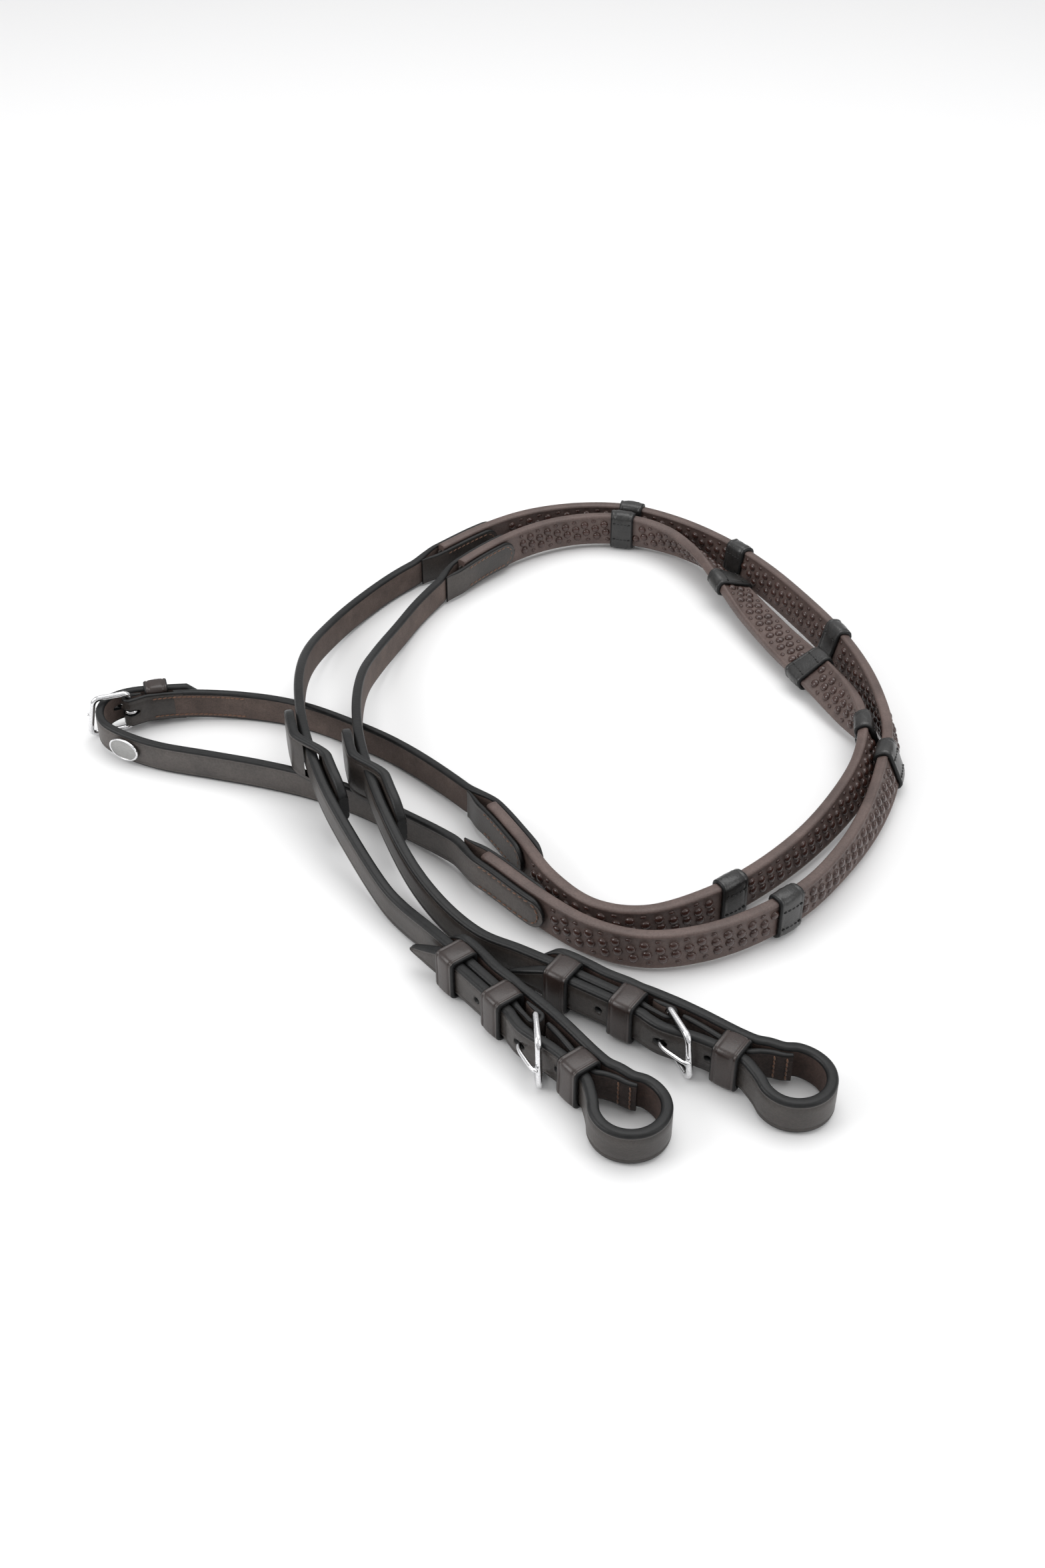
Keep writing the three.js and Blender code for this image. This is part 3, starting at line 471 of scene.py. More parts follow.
def rings_from(f, outlines, offset=0.0):
    offset = np.broadcast_to(np.asarray(offset, float), (len(f["place"]),))
    base = f["place"] + f["thick"] * offset[:, None]
    return base[:, None] + outlines[..., 0:1] * f["thick"][:, None] + outlines[..., 1:2] * f["width"][:,
        None]


def stations_between(start, end, step=2.5, fine=10):
    ends = np.linspace(0, 1, 8) ** 1.5 * fine
    middle = np.linspace(start + fine, end - fine, max(2, int((end - start - 2 * fine) / step)))
    return np.concatenate([start + ends[:-1], middle, end - ends[:-1][::-1]])


def round_end(distance, reach):
    x = np.clip(np.asarray(distance, float) / reach, 0.012, 1)
    return np.sqrt(1 - (1 - x) ** 2)


leathers = [grain_side, flesh_side, cut_edge]
print("a strap section has", section(STRAP, HAND_THICK)[0].shape[1], "points")

# %% [markdown]
# ## Stations
# The splices and stops sit at chosen places of the plan, and the route turns each place into a distance.
# The leather lies on one face of the rubber at both splices, and a short tab closes the splice on the
# other.

# %% Stations
plan = {
    "inner": {"side": 1, "grain": 1, "hand": (-24, -28, 150, 300), "bit": (-45, 171, 850, 1000),
              "stops": [(93, -97), (172.5, 24), (152, 86), (118, 172), (60, 235)], "slip": (-71, -35),
              "slip_side": 1},
    "outer": {"side": -1, "grain": -1, "hand": (-29, -66, 200, 400), "bit": (-60, 191, 900, 1150),
              "stops": [(116, -107), (180, 0), (168, 109), (126, 196), (66, 246.5)], "slip": (-102, -20),
              "slip_side": -1},
}
for name, p in plan.items():
    r = routes[name]
    p["hand_at"], p["bit_at"] = r.nearest(*p["hand"]), r.nearest(*p["bit"])
    p["grip"] = (p["hand_at"] + LEAD, p["bit_at"] - LEAD)
    p["stop_at"] = [r.nearest(x, y, *p["grip"]) for x, y in p["stops"]]
    print(name, "grip from", round(p["grip"][0]), "to", round(p["grip"][1]), "stops",
        [round(s) for s in p["stop_at"]])

# %% [markdown]
# ## Thread
# Saddle stitching shows as a row of short slanted grains, each sunk a little into the leather. One small
# spindle is shaped once and copied to every stitch, which stays light and gives real highlights and
# shadows.

# %% Stitches
def ring_faces(rows, around):
    faces = []
    for a in range(rows):
        for b in range(around):
            here, beside = a * around + b, a * around + (b + 1) % around
            faces.append((here, beside, beside + around, here + around))
    return faces


def spindle(length, radius):
    rings = []
    for x, r in ((-0.5, 0.25), (-0.36, 0.8), (0, 1.0), (0.36, 0.8), (0.5, 0.25)):
        for m in range(6):
            angle = m * math.pi / 3
            rings.append((x * length, r * radius * math.cos(angle), r * radius * math.sin(angle)))
    return np.array(rings), ring_faces(4, 6) + [tuple(range(6))[::-1], tuple(range(24, 30))]


def copies(name, template, faces, centres, xs, ys, zs, material, face_slots=None, more=()):
    centres, xs, ys, zs = map(np.asarray, (centres, xs, ys, zs))
    verts = centres[:, None] + template[None, :, 0:1] * xs[:, None] + template[None, :, 1:2] * ys[:, None]
    verts = verts + template[None, :, 2:3] * zs[:, None]
    k = len(template)
    everywhere = [[v + n * k for v in face] for n in range(len(centres)) for face in faces]
    mesh = bpy.data.meshes.new(name)
    mesh.from_pydata(((verts.reshape(-1, 3) + SHIFT) * MM).tolist(), [], everywhere)
    mesh.materials.append(material)
    for extra in more:
        mesh.materials.append(extra)
    if face_slots is not None:
        mesh.polygons.foreach_set("material_index", list(face_slots) * len(centres))
    mesh.polygons.foreach_set("use_smooth", [True] * len(everywhere))
    mesh.update()
    return add(name, mesh)


class Seams:
    """Collects stitches, then sews them all as one piece."""

    def __init__(self):
        self.rows = []

    def add(self, points, normals, slant=0.16):
        points, normals = np.asarray(points, float), np.asarray(normals, float)
        along = points[1:] - points[:-1]
        along /= np.linalg.norm(along, axis=1)[:, None]
        up = normals[:-1]
        across = np.cross(up, along)
        lean = along * math.cos(slant) + across * math.sin(slant)
        self.rows.append(((points[1:] + points[:-1]) / 2 + up * 0.1, lean, np.cross(up, lean), up))

    def sew(self, name, material, length=2.5, radius=0.42):
        parts = [np.vstack(group) for group in zip(*self.rows)]
        template, faces = spindle(length, radius)
        return copies(name, template, faces, *parts, material)


def seam_on_route(seams, route, start, end, t, w, pitch=3.2):
    s = np.linspace(start, end, max(2, int(abs(end - start) / pitch) + 1))
    f = route.frames(s)
    t = np.broadcast_to(np.asarray(t(s) if callable(t) else t, float), s.shape)
    seams.add(f["place"] + f["thick"] * t[:, None] + f["width"] * w, f["thick"] * np.sign(t)[:, None])


# %% [markdown]
# ## Hand straps and bit straps
# Where the strap meets the rubber it is skived thin, lifts to the rubber's face and ends in a rounded
# tongue. Width, thickness and offset are plain functions of distance, so the taper is written as it would
# be cut.

# %% Straps of both reins
lift = GRIP_THICK / 2 + GAP + LEATHER_THIN / 2
tab_lift = GRIP_THICK / 2 + GAP + TAB / 2


def long_strap(name, which, far, way, thickness, finishes, point=False):
    r, p = routes[name], plan[name]
    at = p[f"{which}_at"]
    tip = at + way * SPLICE
    s = stations_between(*sorted((far, tip)))
    thick = thickness + (LEATHER_THIN - thickness) * smooth(s, at, at + way * LEAD)
    thick = thick - TIP_SKIVE * smooth(s, tip - way * 9, tip)
    width = STRAP * round_end(way * (tip - s), TIP_ROUND)
    if point:
        width = width * np.clip(0.22 + (s - far) / 10, 0, 1)
    outlines, strips = section(width, thick, p["grain"])
    offset = p["side"] * lift * smooth(s, at - way * 6, at + way * LEAD)
    rings = rings_from(r.frames(s), outlines, offset)
    return loft(f"{name}_{which}_strap_leather", rings, finishes, strips)


def splice_tab(name, where):
    r, p = routes[name], plan[name]
    start = p["hand_at"] if where == "hand" else p["bit_at"] - SPLICE + 4
    end = start + SPLICE - 4
    s = stations_between(start, end, 2)
    thin_end, round_tip = (start, end) if where == "hand" else (end, start)
    thick = TAB - 1.3 * (1 - smooth(np.abs(s - thin_end), 0, 9))
    thick = thick - 0.5 * (1 - smooth(np.abs(s - round_tip), 0, 5))
    width = STRAP * round_end(np.abs(s - round_tip), TIP_ROUND)
    outlines, strips = section(width, thick, -p["side"], crease=0.12)
    offset = -p["side"] * (tab_lift - 1.6 * (1 - smooth(np.abs(s - thin_end), 0, 14)))
    return loft(f"{name}_{where}_splice_leather", rings_from(r.frames(s), outlines, offset), leathers,
        strips)


for name, r in routes.items():
    strap = long_strap(name, "bit", r.length, -1, BIT_THICK, leathers)
    settle(strap, stands_for=[f"{name}_bit_strap"])
    for where in ("hand", "bit"):
        settle(splice_tab(name, where), stands_for=[f"{name}_{where}_splice_tab"])
# The hand straps wear the lighter copy of the grain finish, which is painted light.
for name, far in (("inner", 19), ("outer", 0)):
    strap = long_strap(name, "hand", far, 1, HAND_THICK, [hand_grain_painted_light, flesh_side, cut_edge],
        name == "outer")
    settle(strap, stands_for=[f"{name}_hand_strap"])
print("four long straps and four splice tabs")

# %% [markdown]
# ## Stitching of the splices
# Each splice is sewn through leather, rubber and tab with brown waxed thread: one row along each edge and
# an arch round the end. Both faces show it, because the thread goes right through.

# %% Stitching of the splices
for name, r in routes.items():
    p, seams = plan[name], Seams()
    row = 5.7
    for start, sign in ((p["hand_at"], 1), (p["bit_at"], -1)):
        faces = ((p["side"], lift + LEATHER_THIN / 2, SPLICE),
            (-p["side"], tab_lift + TAB / 2, SPLICE - 4))
        for side, top, reach in faces:
            for w in (-row, row):
                seam_on_route(seams, r, start + sign * (LEAD + 1), start + sign * (reach - 8),
                    side * (top - 0.12), w)
            turn = np.linspace(-80, 80, 6)
            f = r.frames(start + sign * (reach - 8 + 5.4 * np.cos(np.radians(turn))))
            rise = (row * np.sin(np.radians(turn)))[:, None]
            seams.add(f["place"] + f["thick"] * side * (top - 0.35) + f["width"] * rise,
                f["thick"] * side)
    settle(seams.sew(f"{name}_splice_thread", thread))
    print(name, "splice stitches:", sum(len(row[0]) for row in seams.rows))

# %% [markdown]
# ## Rubber grips
# The grip is a flat sleeve with a smooth border band along each edge. Between the bands stand slanted
# columns of two large pimples and a flat small one, and every second column is turned the other way up, so
# that the rows interlock. A pimple is a round dome with its own darker, glossier finish, since gloves
# polish it.

# %% Sleeve of the grip
PIMPLE_PITCH, PIMPLE_SLANT, STOP_CLEARANCE = 6.1, 0.25, 8.6
LARGE, SMALL = (2.3, 1.8), (1.4, 0.8)    # radius and height of a pimple


def grip_outline(count):
    half, t = GRIP / 2, GRIP_THICK / 2
    floor = t - 0.35
    border = [(t, 7.9), (t, 8.3), (t - 0.25, 8.95), (t - 0.9, half - 0.12), (t - 1.7, half)]
    side = [(a, -b) for a, b in reversed(border)]
    side += [(floor, -7.5), (floor, -3), (floor, 3), (floor, 7.5)] + border
    loop = side + [(-a, b) for a, b in reversed(side)]
    return np.broadcast_to(np.array(loop[4:] + loop[:4]), (count, len(loop), 2))


def dome(around=10):
    rings = []
    for r, z in ((1.0, -0.15), (0.98, 0.18), (0.86, 0.46), (0.62, 0.68), (0.3, 0.8)):
        rings += [(r * math.cos(m * 2 * math.pi / around), r * math.sin(m * 2 * math.pi / around),
            z) for m in range(around)]
    rings.append((0, 0, 0.83))
    last = 4 * around
    faces = ring_faces(4, around)
    faces += [(last + b, last + (b + 1) % around, last + around) for b in range(around)]
    return np.array(rings), faces, [0] * around + [1] * (4 * around)


for name, r in routes.items():
    start, end = plan[name]["grip"]
    s = np.linspace(start, end, int((end - start) / 2.5))
    sleeve = loft(f"{name}_grip_rubber", rings_from(r.frames(s), grip_outline(len(s))), [rubber])
    settle(sleeve, stands_for=[f"{name}_rubber_grip"])

    columns = np.arange(start + SPLICE - LEAD + 5, end - SPLICE + LEAD - 4, PIMPLE_PITCH)
    spots = []
    for n, c in enumerate(columns):
        turn = 1 if n % 2 else -1
        for w, (size, tall) in ((3.7 * turn, LARGE), (-1.25 * turn, LARGE), (-5.9 * turn, SMALL)):
            at = c - PIMPLE_SLANT * w
            if min(abs(at - stop) for stop in plan[name]["stop_at"]) > STOP_CLEARANCE:
                spots += [(at, side, w, size, tall) for side in (1, -1)]
    at, side, w, size, tall = (np.array(column, float) for column in zip(*spots))
    f = r.frames(at)
    out = f["thick"] * side[:, None]
    centre = f["place"] + out * (GRIP_THICK / 2 - 0.3) + f["width"] * w[:, None]
    across = np.cross(out, f["along"])
    wide = size * np.where(size == SMALL[0], 0.75, 1.0)
    template, faces, slots = dome()
    pimples = copies(f"{name}_grip_pimples", template, faces, centre, f["along"] * size[:, None],
                     across * wide[:, None], out * tall[:, None], rubber, slots, [rubber_tip])
    settle(pimples)
    print(name, "pimples:", len(spots))

# %% [markdown]
# ## Bands of leather: stops and keepers
# Hand stops and keepers are the same thing, a strip of thin leather closed into a ring. The ring is lofted
# across the strip's own width: each section is the ring's outline, grown by the strip's height there. Two
# dips in that height are the pressed crease lines near the edges, and the strip's cut ends are dyed black.
# The thin leather of a stop also wrinkles as it is pulled tight, so its sections are pushed about a little.

# %% Bands
def ring_outline(low, high, tall, corner, grow):
    w, h = high - low, tall
    loop = []
    for cx, cy, first in ((1, 1, 0), (-1, 1, 90), (-1, -1, 180), (1, -1, 270)):
        for degrees in (0, 22.5, 45, 67.5, 90):
            angle = math.radians(first + degrees)
            radius = corner + grow * 0.85
            x = cx * (w / 2 + grow - radius) + radius * math.cos(angle)
            y = cy * (h / 2 + grow - radius) + radius * math.sin(angle)
            loop.append((x + (low + high) / 2, y))
    return loop


def strip_heights(length, wall, crease, inset=1.9, crown=0.3):
    half = length / 2
    side = [(-half, 0.0), (-half, wall * 0.5), (-half + 0.25, wall * 0.85), (-half + 0.8, wall)]
    side += [(-half + inset - 0.35, wall + 0.03), (-half + inset, wall - crease),
        (-half + inset + 0.35, wall + 0.06)]
    middle = [(-half * 0.42, wall + crown * 0.7), (0, wall + crown), (half * 0.42, wall + crown * 0.7)]
    return side + middle + [(-a, g) for a, g in reversed(side)]


def band(name, frames_at, length, wall, low, high, tall, finishes, crease=0.28, corner=1.2, inset=1.9,
        wrinkle=0.0, seed=0):
    heights = strip_heights(length, wall, crease, inset)
    f = frames_at(np.array([a for a, _ in heights]))
    outlines = np.array([ring_outline(low, high, tall, corner, g) for _, g in heights])
    if wrinkle:
        chance = np.random.default_rng(seed)
        middle = outlines.mean(axis=1, keepdims=True)
        swell = chance.normal(0, 1, outlines.shape[:2]) * (np.array([g for _,
            g in heights]) > wall * 0.9)[:, None]
        swell = (swell + np.roll(swell, 1, axis=1) + np.roll(swell, 1, axis=0)) / 3
        way = (outlines - middle) / np.linalg.norm(outlines - middle, axis=2, keepdims=True)
        outlines = outlines + way * (wrinkle * swell)[..., None]
    rows = [1 if n < 3 or n > len(heights) - 5 else 0 for n in range(len(heights))]
    return loft(name, rings_from(f, outlines), finishes, closed=True, rows=rows)


# %% [markdown]
# ## Hand stops
# Five stops sit on each grip. A stop is sewn to the rubber with two rows of black thread that run along the
# rein, and the wrinkles of each one differ, since every stop has its own seed.

# %% Hand stops
STOP_LENGTH, STOP_WALL = 14.2, 1.7
half_t, half_w = GRIP_THICK / 2 + 0.25, GRIP / 2 + 0.2
for name, r in routes.items():
    seams = Seams()
    for n, at in enumerate(plan[name]["stop_at"], 1):
        stop = band(f"{name}_stop_{n}_leather", lambda a, at=at: r.frames(at + a), STOP_LENGTH, STOP_WALL,
                    -half_t, half_t, 2 * half_w, [stop_side, cut_edge], crease=0.05, corner=2.2,
                    inset=2.2, wrinkle=0.28, seed=n)
        settle(stop, stands_for=[f"{name}_hand_stop_{n}"])
        for side in (1, -1):
            for w in (-5.6, 4.6):
                seam_on_route(seams, r, at - 6.0, at + 6.0, side * (half_t + 1.84), w, 2.4)
    settle(seams.sew(f"{name}_stop_thread", black_thread, 1.7, 0.38))
print("ten hand stops")

# %% [markdown]
# ## Slip-on rein stops
# A rein stop is one thick tab with a slit. The strap enters on one face and leaves on the other, so half
# the tab lies on each side of it. It rides over the hand strap here, on its own lower edge. The slit is cut
# with a Boolean, using a slightly larger copy of the strap as the knife.

# %% Cutting helper and rein stops
def cut(thing, knives):
    for knife in knives:
        modifier = thing.modifiers.new("Cut", "BOOLEAN")
        modifier.operation = "DIFFERENCE"
        modifier.solver = "FAST"
        modifier.object = knife
    bpy.context.view_layer.update()
    result = bpy.data.meshes.new_from_object(thing.evaluated_get(bpy.context.evaluated_depsgraph_get()))
    thing.modifiers.clear()
    thing.data = result
    for knife in knives:
        bpy.data.objects.remove(knife)
    return thing


for name, r in routes.items():
    p = plan[name]
    at = r.nearest(*p["slip"], r.length - 400, r.length - 80)
    start, end = at - 34, at + 34
    s = stations_between(start, end, 1.6, 12)
    width = 24 * (0.42 + 0.58 * round_end(np.minimum(s - start, end - s), 11))
    outlines, strips = section(width, 4.6, -p["slip_side"], crease=0.35, inset=3.0, back_crease=0.35)
    swing = BIT_THICK / 2 + 1.1 + 2.3
    offset = p["slip_side"] * swing * (1 - 2 * smooth(s, at - 11, at + 11))
    tab = loft(f"{name}_rein_stop_leather", rings_from(r.frames(s), outlines, offset),
               [grain_side, grain_side, cut_edge], strips)
    s = np.linspace(start - 4, end + 4, 40)
    box = np.array([(a * (BIT_THICK / 2 + 1.0), b * (STRAP / 2 + 1.1)) for a,
        b in ((1, 1), (-1, 1), (-1, -1), (1, -1))])
    knife = loft("Knife", rings_from(r.frames(s), np.broadcast_to(box, (len(s), 4, 2))), [cut_edge])
    settle(cut(tab, [knife]), f"{name}_slip_stop", [f"{name}_rein_stop"])
print("two rein stops")

# %% [markdown]
# ## Straps drawn in plan
# At the bit and at the hand buckle the leather folds back on itself, which a route that only moves forward
# draws badly. There the strap is drawn as a path in the plan, seen from above as a saddler would chalk it,
# with its thickness at each point.

# %% Paths in plan
def plan_frames(place, points, height, per_span=6):
    path = curve_through([(*p, 1.0)[:4] for p in points], per_span)
    x, y = to_plan(place, path[:, 0], path[:, 1])
    where = np.stack([x, y, height(path[:, 0])], axis=1)
    along = np.gradient(where[:, :2], axis=0)
    along /= np.linalg.norm(along, axis=1)[:, None]
    zero = np.zeros((len(path), 1))
    f = {"place": where, "along": np.hstack([along, zero]),
        "thick": np.hstack([-along[:, 1:], along[:, :1], zero]),
         "width": np.hstack([zero, zero, zero + 1])}
    run = np.concatenate([[0], np.cumsum(np.linalg.norm(np.diff(where, axis=0), axis=1))])
    return f, path[:, 2], path[:, 3], run


def arc(centre, radius, first, last, steps, thick):
    return [(centre[0] + radius * math.cos(math.radians(d)),
        centre[1] + radius * math.sin(math.radians(d)), thick)
            for d in np.linspace(first, last, steps + 1)]


def flat_frames(place, u, v, height):
    """Frames for a band that stands across a strap at u of a plan."""
    def at(a):
        x, y = to_plan(place, u + a, np.zeros_like(a) + v)
        x2, y2 = to_plan(place, u + a, np.zeros_like(a) + v + 1)
        zero = np.zeros((len(a), 1))
        thick = np.stack([x2 - x, y2 - y, zero[:, 0]], axis=1)
        return {"place": np.stack([x, y, zero[:, 0] + height], axis=1), "thick": thick,
            "width": np.hstack([zero, zero, zero + 1])}
    return at


FRONT = -(BIT_THICK / 2 + GAP + 2.5)
BEHIND = BIT_THICK / 2 + GAP + 1.8 + GAP + 2.5
HEEL = (49, 1.2)
billet_path = [
    (-24, -9.6, 2.0, 0.2), (-19, -8.0, 3.4, 0.44), (-14, -6.6, 4.4, 0.64), (-8, FRONT, 4.8, 0.86),
    (-3, FRONT, 4.8),
    (6, FRONT, 4.8), (16, FRONT, 4.8), (26, FRONT, 4.8), (39, FRONT, 4.8), (43.5, -6.1, 4.8),
    (48, -6.8, 4.8),
    (52, -6.8, 4.8), (58, -5.8, 4.8), (65, -4.2, 4.8), (72, -3.2, 4.8), (78, -3.1, 4.8), (84, -3.2, 4.8),
    (88, -3.8, 4.8),
    (92, -5.6, 4.8), *arc((107, 2.2), 14.6, -135, 135, 12, 4.8),
    (91, 10.8, 4.8), (86, 8.9, 4.8), (80, 8.5, 4.8), (72, 8.5, 4.8), (60, 8.6, 4.8), (49, 8.6, 4.8),
    (38, 8.0, 4.8),
    (32, BEHIND, 4.8), (26, BEHIND, 4.8), (16, 6.8, 4.8), (6, BEHIND, 4.8), (-2, BEHIND, 4.8),
    (-7.5, 7.0, 4),
    (-11, 5.4, 2.4, 0.85), (-16, 3.5, 1.0, 0.4),
]
safe_path = [
    (55, 3.0, 2), (58, 3.0, 2.8), (65, 2.6, 2.8), (74, 1.8, 2.8), (81, 1.35, 2.8), (86, 1.7, 2.8),
    (90, 4.6, 2.6),
    (94, 7.0, 2.6), (97, 8.2, 2.6), (99.4, 9.4, 2.4), (101.4, 10.9, 2),
]
fold_path = [
    (28, 0, BIT_THICK), (34, -0.2, BIT_THICK - 0.6), (40, -1.0, 2.8), (45, -1.5, FOLD),
    *arc(HEEL, ROD + GAP + FOLD / 2 + 0.1, -90, 90, 8, FOLD), (44.5, 3.9, FOLD), (40.5, 3.6, 1.0),
]

# %% [markdown]
# ## Billets, linings and folds
# The billet is the punched strap that goes round the bit ring. Its free end comes back in front, passes
# through the buckle and tucks under the keepers. Its other end is sewn behind. The holes are punched with a
# Boolean, because a hole's dark inside is what makes it read as a hole.

# %% Billets, linings and folds
def punch(place, u, v, height, long, tall):
    rings = []
    for depth in (-4.5, 4.5):
        ring = []
        for m in range(20):
            angle = m * math.pi / 10
            x, y = to_plan(place, u + long / 2 * math.cos(angle), v + depth)
            ring.append((float(x), float(y), height + tall / 2 * math.sin(angle)))
        rings.append(ring)
    return loft("Punch", np.array(rings), [cut_edge])


def plan_strap(name, place, points, width, height, grain, finishes, tips=(6, 6), crease=0.3,
        slot_cut=None, per_span=6):
    f, thick, share, run = plan_frames(place, points, height, per_span)
    w = width * share
    if tips[0]:
        w = w * round_end(run, tips[0])
    if tips[1]:
        w = w * round_end(run[-1] - run, tips[1])
    outlines, strips = section(w, thick, grain, crease)
    thing = loft(name, rings_from(f, outlines), finishes, strips)
    return cut(thing, slot_cut) if slot_cut else thing


for name, place in bit_ends.items():
    holes = [punch(place, 51.6, -7, END_HIGH, 6.6, 3.7),
        punch(place, 21, FRONT, float(end_height(21)), 3.6, 3.2),
             punch(place, 72, -2.8, float(end_height(72)), 3.6, 3.2)]
    billet = plan_strap(f"{name}_billet_leather", place, billet_path, 16.5, end_height, -1,
        [grain_side, loop_flesh, cut_edge], (2.5, 0), slot_cut=holes)
    settle(billet, stands_for=[f"{name}_billet"])
    lining = plan_strap(f"{name}_lining_leather", place, safe_path, 15, end_height, -1,
                        [lining_side, lining_side, cut_edge], (0, 0), 0.15)
    settle(lining, stands_for=[f"{name}_safe"])
    gap = [punch(place, HEEL[0] + 1, HEEL[1] + v, END_HIGH, 10.4, 4.2) for v in (-4, 4)]
    fold = plan_strap(f"{name}_bit_fold_leather", place, fold_path, STRAP, end_height, -1, leathers,
        (0, 0), 0.2, slot_cut=gap)
    settle(fold)
print("two billets, two linings, two folds")

# %% Stitching of the bit ends
for name, place in bit_ends.items():
    seams = Seams()
    for w in (-5.9, 5.9):
        u = np.linspace(-6, 39, 15)
        v = np.interp(u, [-11, -7.5, -2, 6, 16, 26, 32, 38],
            [5.4 + 1.2, 7.0 + 2, BEHIND + 2.4, BEHIND + 2.4, 9.0, 9.4, BEHIND + 2.4, 10.4])
        x, y = to_plan(place, u, v)
        across = np.array([*np.subtract(to_plan(place, 0, 1), to_plan(place, 0, 0)), 0.0])
        seams.add(np.stack([x, y, end_height(u) + w], axis=1), np.tile(across, (len(u), 1)))
    for u, v in ((100.3, 8.3), (95.6, 6.2)):
        z = np.linspace(-6.2, 6.2, 6)
        x, y = to_plan(place, np.full(6, u), np.full(6, v))
        away = np.array([*np.subtract(to_plan(place, 0.6, -0.8), to_plan(place, 0, 0)), 0.0])
        seams.add(np.stack([x, y, end_height(u) + z], axis=1), np.tile(away, (6, 1)))
    settle(seams.sew(f"{name}_bit_thread", thread))

# %% [markdown]
# ## Keepers
# Two keepers are sewn in and one slides. All are pressed flat and creased along both edges, and they are
# the glossiest leather of the reins, because every strap end is pushed through them.

# %% Keepers
KEEPER_LENGTH, KEEPER_WALL = 11.9, 1.8
for name, place in bit_ends.items():
    for n, (u, low, high, body) in enumerate(((0, FRONT - 2.85, 2.75, "reins"),
            (32, FRONT - 2.85, 2.75, "reins"),
                                              (80, -6.3, 3.85, f"{name}_loose_keeper")), 1):
        ring = band(f"{name}_keeper_{n}_leather", flat_frames(place, u, 0, float(end_height(u))),
                    KEEPER_LENGTH, KEEPER_WALL, low, high, 17.2, [keeper_side, cut_edge])
        settle(ring, body, [f"{name}_keeper_{n}"])
print("six keepers")

# %% [markdown]
# ## Buckles
# A rein buckle is one bent steel wire. The heel bar sits in the fold, and the tongue is a second wire with
# an eye curled round that bar. Curves with a round bevel are the natural tool for wire, and a curve can be
# thicker at one point than another, which gives the tongue its taper.

# %% Wire
def wire(name, place, points, radius, closed=False, radii=None):
    curve = bpy.data.curves.new(name, "CURVE")
    curve.dimensions = "3D"
    curve.bevel_depth = radius * MM
    curve.bevel_resolution = 5
    curve.use_fill_caps = True
    spline = curve.splines.new("POLY")
    spline.points.add(len(points) - 1)
    for k, (u, v, z) in enumerate(points):
        x, y = to_plan(place, u, v)
        spline.points[k].co = (*((np.array([float(x), float(y), z]) + SHIFT) * MM), 1)
        spline.points[k].radius = 1 if radii is None else radii[k]
    spline.use_cyclic_u = closed
    spline.use_smooth = True
    curve.materials.append(steel)
    return add(name, curve)


def on_circle(centre, radius, degrees):
    angle = math.radians(degrees)
    return centre[0] + radius * math.cos(angle), centre[1] + radius * math.sin(angle)


def frame_points(heel, turn, depth, rake):
    corner, points = 3.4, []
    high = FRAME_HIGH
    for cu, cz, first in ((depth - corner, high - corner, 0), (corner, high - corner, 90),
                          (corner, corner - high, 180), (depth - corner, corner - high, 270)):
        for degrees in np.linspace(0, 90, 9):
            along, rise = on_circle((cu, cz), corner, first + degrees)
            along -= rake * along * rise / (2 * depth * high)
            points.append((heel[0] + along * math.cos(turn), heel[1] + along * math.sin(turn),
                END_HIGH + rise))
    return points


def tongue_points(heel, first, hook):
    around = ROD + GAP + TONGUE
    curl = [on_circle(heel, around, d + first) for d in np.linspace(-250, 0, 24)]
    bend = curve_through([curl[-1], *hook], 6)[1:]
    path = [*curl, *map(tuple, bend)]
    radii = [1.0] * len(curl) + list(np.linspace(1.0, 0.92, len(bend) - 4)) + [0.88, 0.8, 0.68, 0.45]
    return [(u, v, END_HIGH) for u, v in path], radii


rest = ROD + GAP + TONGUE
for name, place in bit_ends.items():
    turn, depth, rake = math.radians(-34), 20.5, {"inner": 3.5, "outer": 6.5}[name]
    buckle = wire(f"{name}_buckle_wire", place, frame_points(HEEL, turn, depth, rake), ROD, closed=True)
    settle(buckle, stands_for=[f"{name}_buckle_frame"])
    bar = (HEEL[0] + depth * math.cos(turn), HEEL[1] + depth * math.sin(turn))
    path, radii = tongue_points(HEEL, -80,
        [(50.3, -4.2), (50.8, -6.8), (51.9, -9.4), (54.6, -11.2), (59, -12.3),
                                            (bar[0] - 0.6, bar[1] - rest - 0.3),
                                            (bar[0] + 2.2, bar[1] - rest + 0.3)])
    tongue = wire(f"{name}_tongue_wire", place, path, TONGUE, radii=radii)
    settle(tongue, f"{name}_tongue", [f"{name}_buckle_tongue"])

# %% [markdown]
# ## The hand buckle
# The inner rein ends in a fold round the hand buckle's heel bar, sewn with two rows. The outer rein ends in
# a punched point that comes through the buckle and lies behind the inner rein. One keeper, sewn in behind
# the fold, holds it.

# %% The hand buckle
def hand_height(u):
    return 8 + (END_HIGH - 8) * (1 - smooth(u, 0, 62))


def in_hand_plan(x, y):
    dx, dy, c, s = x - hand_buckle[0], y - hand_buckle[1], math.cos(hand_buckle[2]), math.sin(hand_buckle[2])
    return dx * c + dy * s, -dx * s + dy * c


def beside(distances, shift):
    f = routes["inner"].frames(np.array(distances, float))
    left = np.cross((0, 0, 1), f["along"])
    spots = f["place"] + left * shift
    return [(*map(float, in_hand_plan(x, y)), FOLD) for x, y in spots[:, :2]]


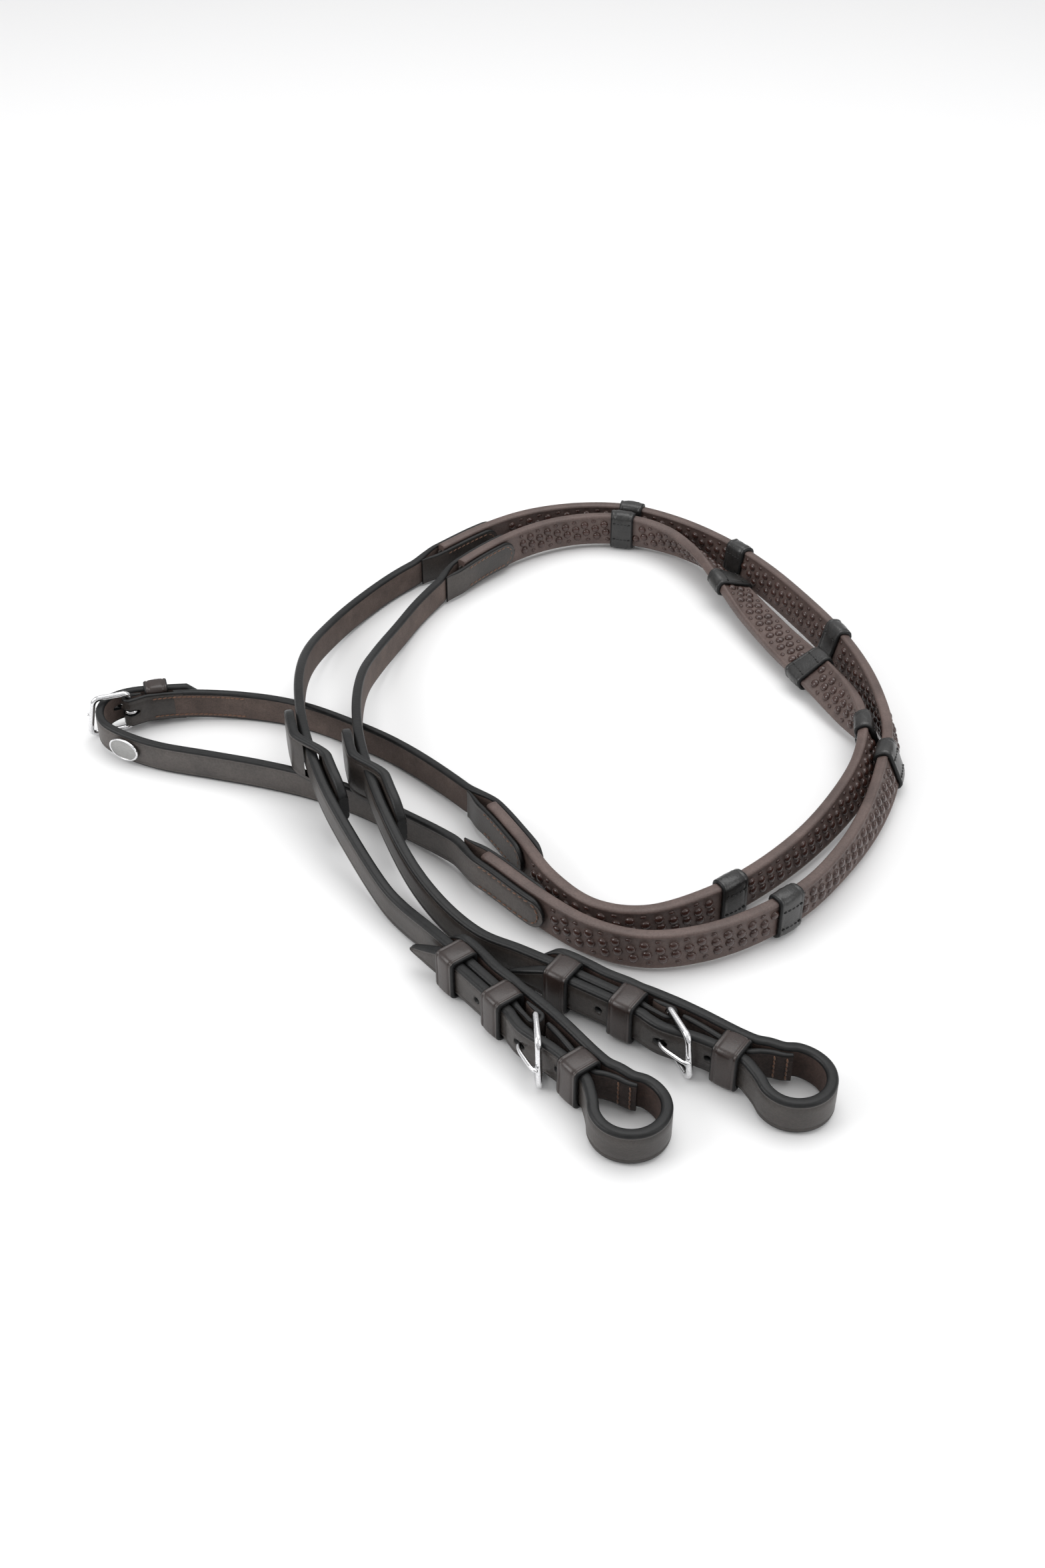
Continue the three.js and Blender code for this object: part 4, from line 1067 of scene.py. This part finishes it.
hand_fold = beside([24, 20, 15, 10, 5], -FOLD / 2 + 0.05) + arc((0, 0), ROD + GAP + FOLD / 2 + 0.1, 270,
    90, 8, FOLD)
hand_fold += [(3, FOLD / 2 + 0.75, FOLD), (6.2, FOLD / 2 + 0.45, 1.0)]
gap = [punch(hand_buckle, -1.2, v, END_HIGH, 10.8, 4.2) for v in (-4, 4)]
fold = plan_strap("inner_hand_fold_leather", hand_buckle, hand_fold, STRAP, hand_height, 1, leathers,
    (0, 0), 0.25, slot_cut=gap)
settle(fold)

point_strap = bpy.data.objects["outer_hand_strap_leather"]
cut(point_strap, [punch(hand_buckle, -5, 6, END_HIGH, 7.4, 3.0)])

seams = Seams()
for w in (-5.4, 5.4):
    seam_on_route(seams, routes["inner"], 8, 56, -(FOLD - 0.08), w, 2.5)
    seam_on_route(seams, routes["inner"], 22, 56, FOLD - 0.05, w, 2.5)
settle(seams.sew("hand_thread", thread, 2.3))

keeper_place = (hand_buckle[0], hand_buckle[1], hand_buckle[2] - math.radians(3))
ring = band("hand_keeper_leather", flat_frames(keeper_place, 14, 0, float(hand_height(14))),
            KEEPER_LENGTH, KEEPER_WALL, 2.9, 9.7, 16.7, [keeper_side, cut_edge])
settle(ring, stands_for=["hand_keeper"])

buckle = wire("hand_buckle_wire", hand_buckle, frame_points((0, 0), math.pi, 20, 4), ROD, closed=True)
settle(buckle, stands_for=["hand_buckle_frame"])
path, radii = tongue_points((0, 0), 98,
    [(-3.0, 3.0), (-5.0, 5.4), (-7.2, 8.4), (-10, 9.6), (-15, 7.6), (-19, rest + 0.4),
                                         (-22.2, rest - 0.6)])
settle(wire("hand_tongue_wire", hand_buckle, path, TONGUE, radii=radii), "hand_tongue",
    ["hand_buckle_tongue"])
print("hand buckle, its fold, keeper and tongue")

# %% [markdown]
# ## The oval plate
# A small oval plate is riveted to the outer rein near the buckle. It is plain here: a domed face inside a
# raised rim, lofted from ovals, with a washer behind the strap that holds its stud.

# %% The oval plate
f = {key: value[0] for key, value in routes["outer"].frames(routes["outer"].nearest(-197.5, 19.2, 40,
    120)).items()}
outward = -np.cross((0, 0, 1), f["along"])


def ovals(levels, long, tall):
    angles = np.linspace(0, 2 * math.pi, 48, endpoint=False)
    rings = []
    for scale, rise in levels:
        ring = f["place"] + outward * rise + f["along"] * (scale * long * np.cos(angles))[:, None]
        rings.append(ring + f["width"] * (scale * tall * np.sin(angles))[:, None])
    return np.array(rings)


face = HAND_THICK / 2 + GAP + 0.5
plate = loft("badge_oval", ovals([(0.9, face - 0.1), (0.99, face + 0.1), (1.0, face + 0.6),
    (0.985, face + 1.15), (0.94, face + 1.35),
                                  (0.88, face + 1.2), (0.85, face + 0.85), (0.8, face + 0.82),
                                  (0.5, face + 1.05), (0.04, face + 1.2)],
                                 8.7, 6.2), [steel, satin], rows=[0, 0, 0, 0, 0, 1, 1, 1, 1])
settle(plate, stands_for=["badge_plate"])
back = -(HAND_THICK / 2 + GAP)
washer = loft("badge_back_washer",
    ovals([(1.0, back), (1.04, back - 0.2), (1.0, back - 0.7), (0.8, back - 0.95), (0.5, back - 1.0),
                                          (0.45, back - 1.5), (0.3, back - 1.8), (0.04, back - 1.9)], 3.1,
                                          3.1), [steel])
settle(washer, stands_for=["badge_washer"])
print("one oval plate and its washer")

# %% [markdown]
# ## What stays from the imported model
# The webbing core is inside the rubber and shows only at the mouth of a splice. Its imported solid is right
# as it is, and gets a coarse woven finish.

# %% Core finish
for name in routes:
    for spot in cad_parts[f"{name}_grip_core"].material_slots:
        spot.material = webbing
print("the core is woven")
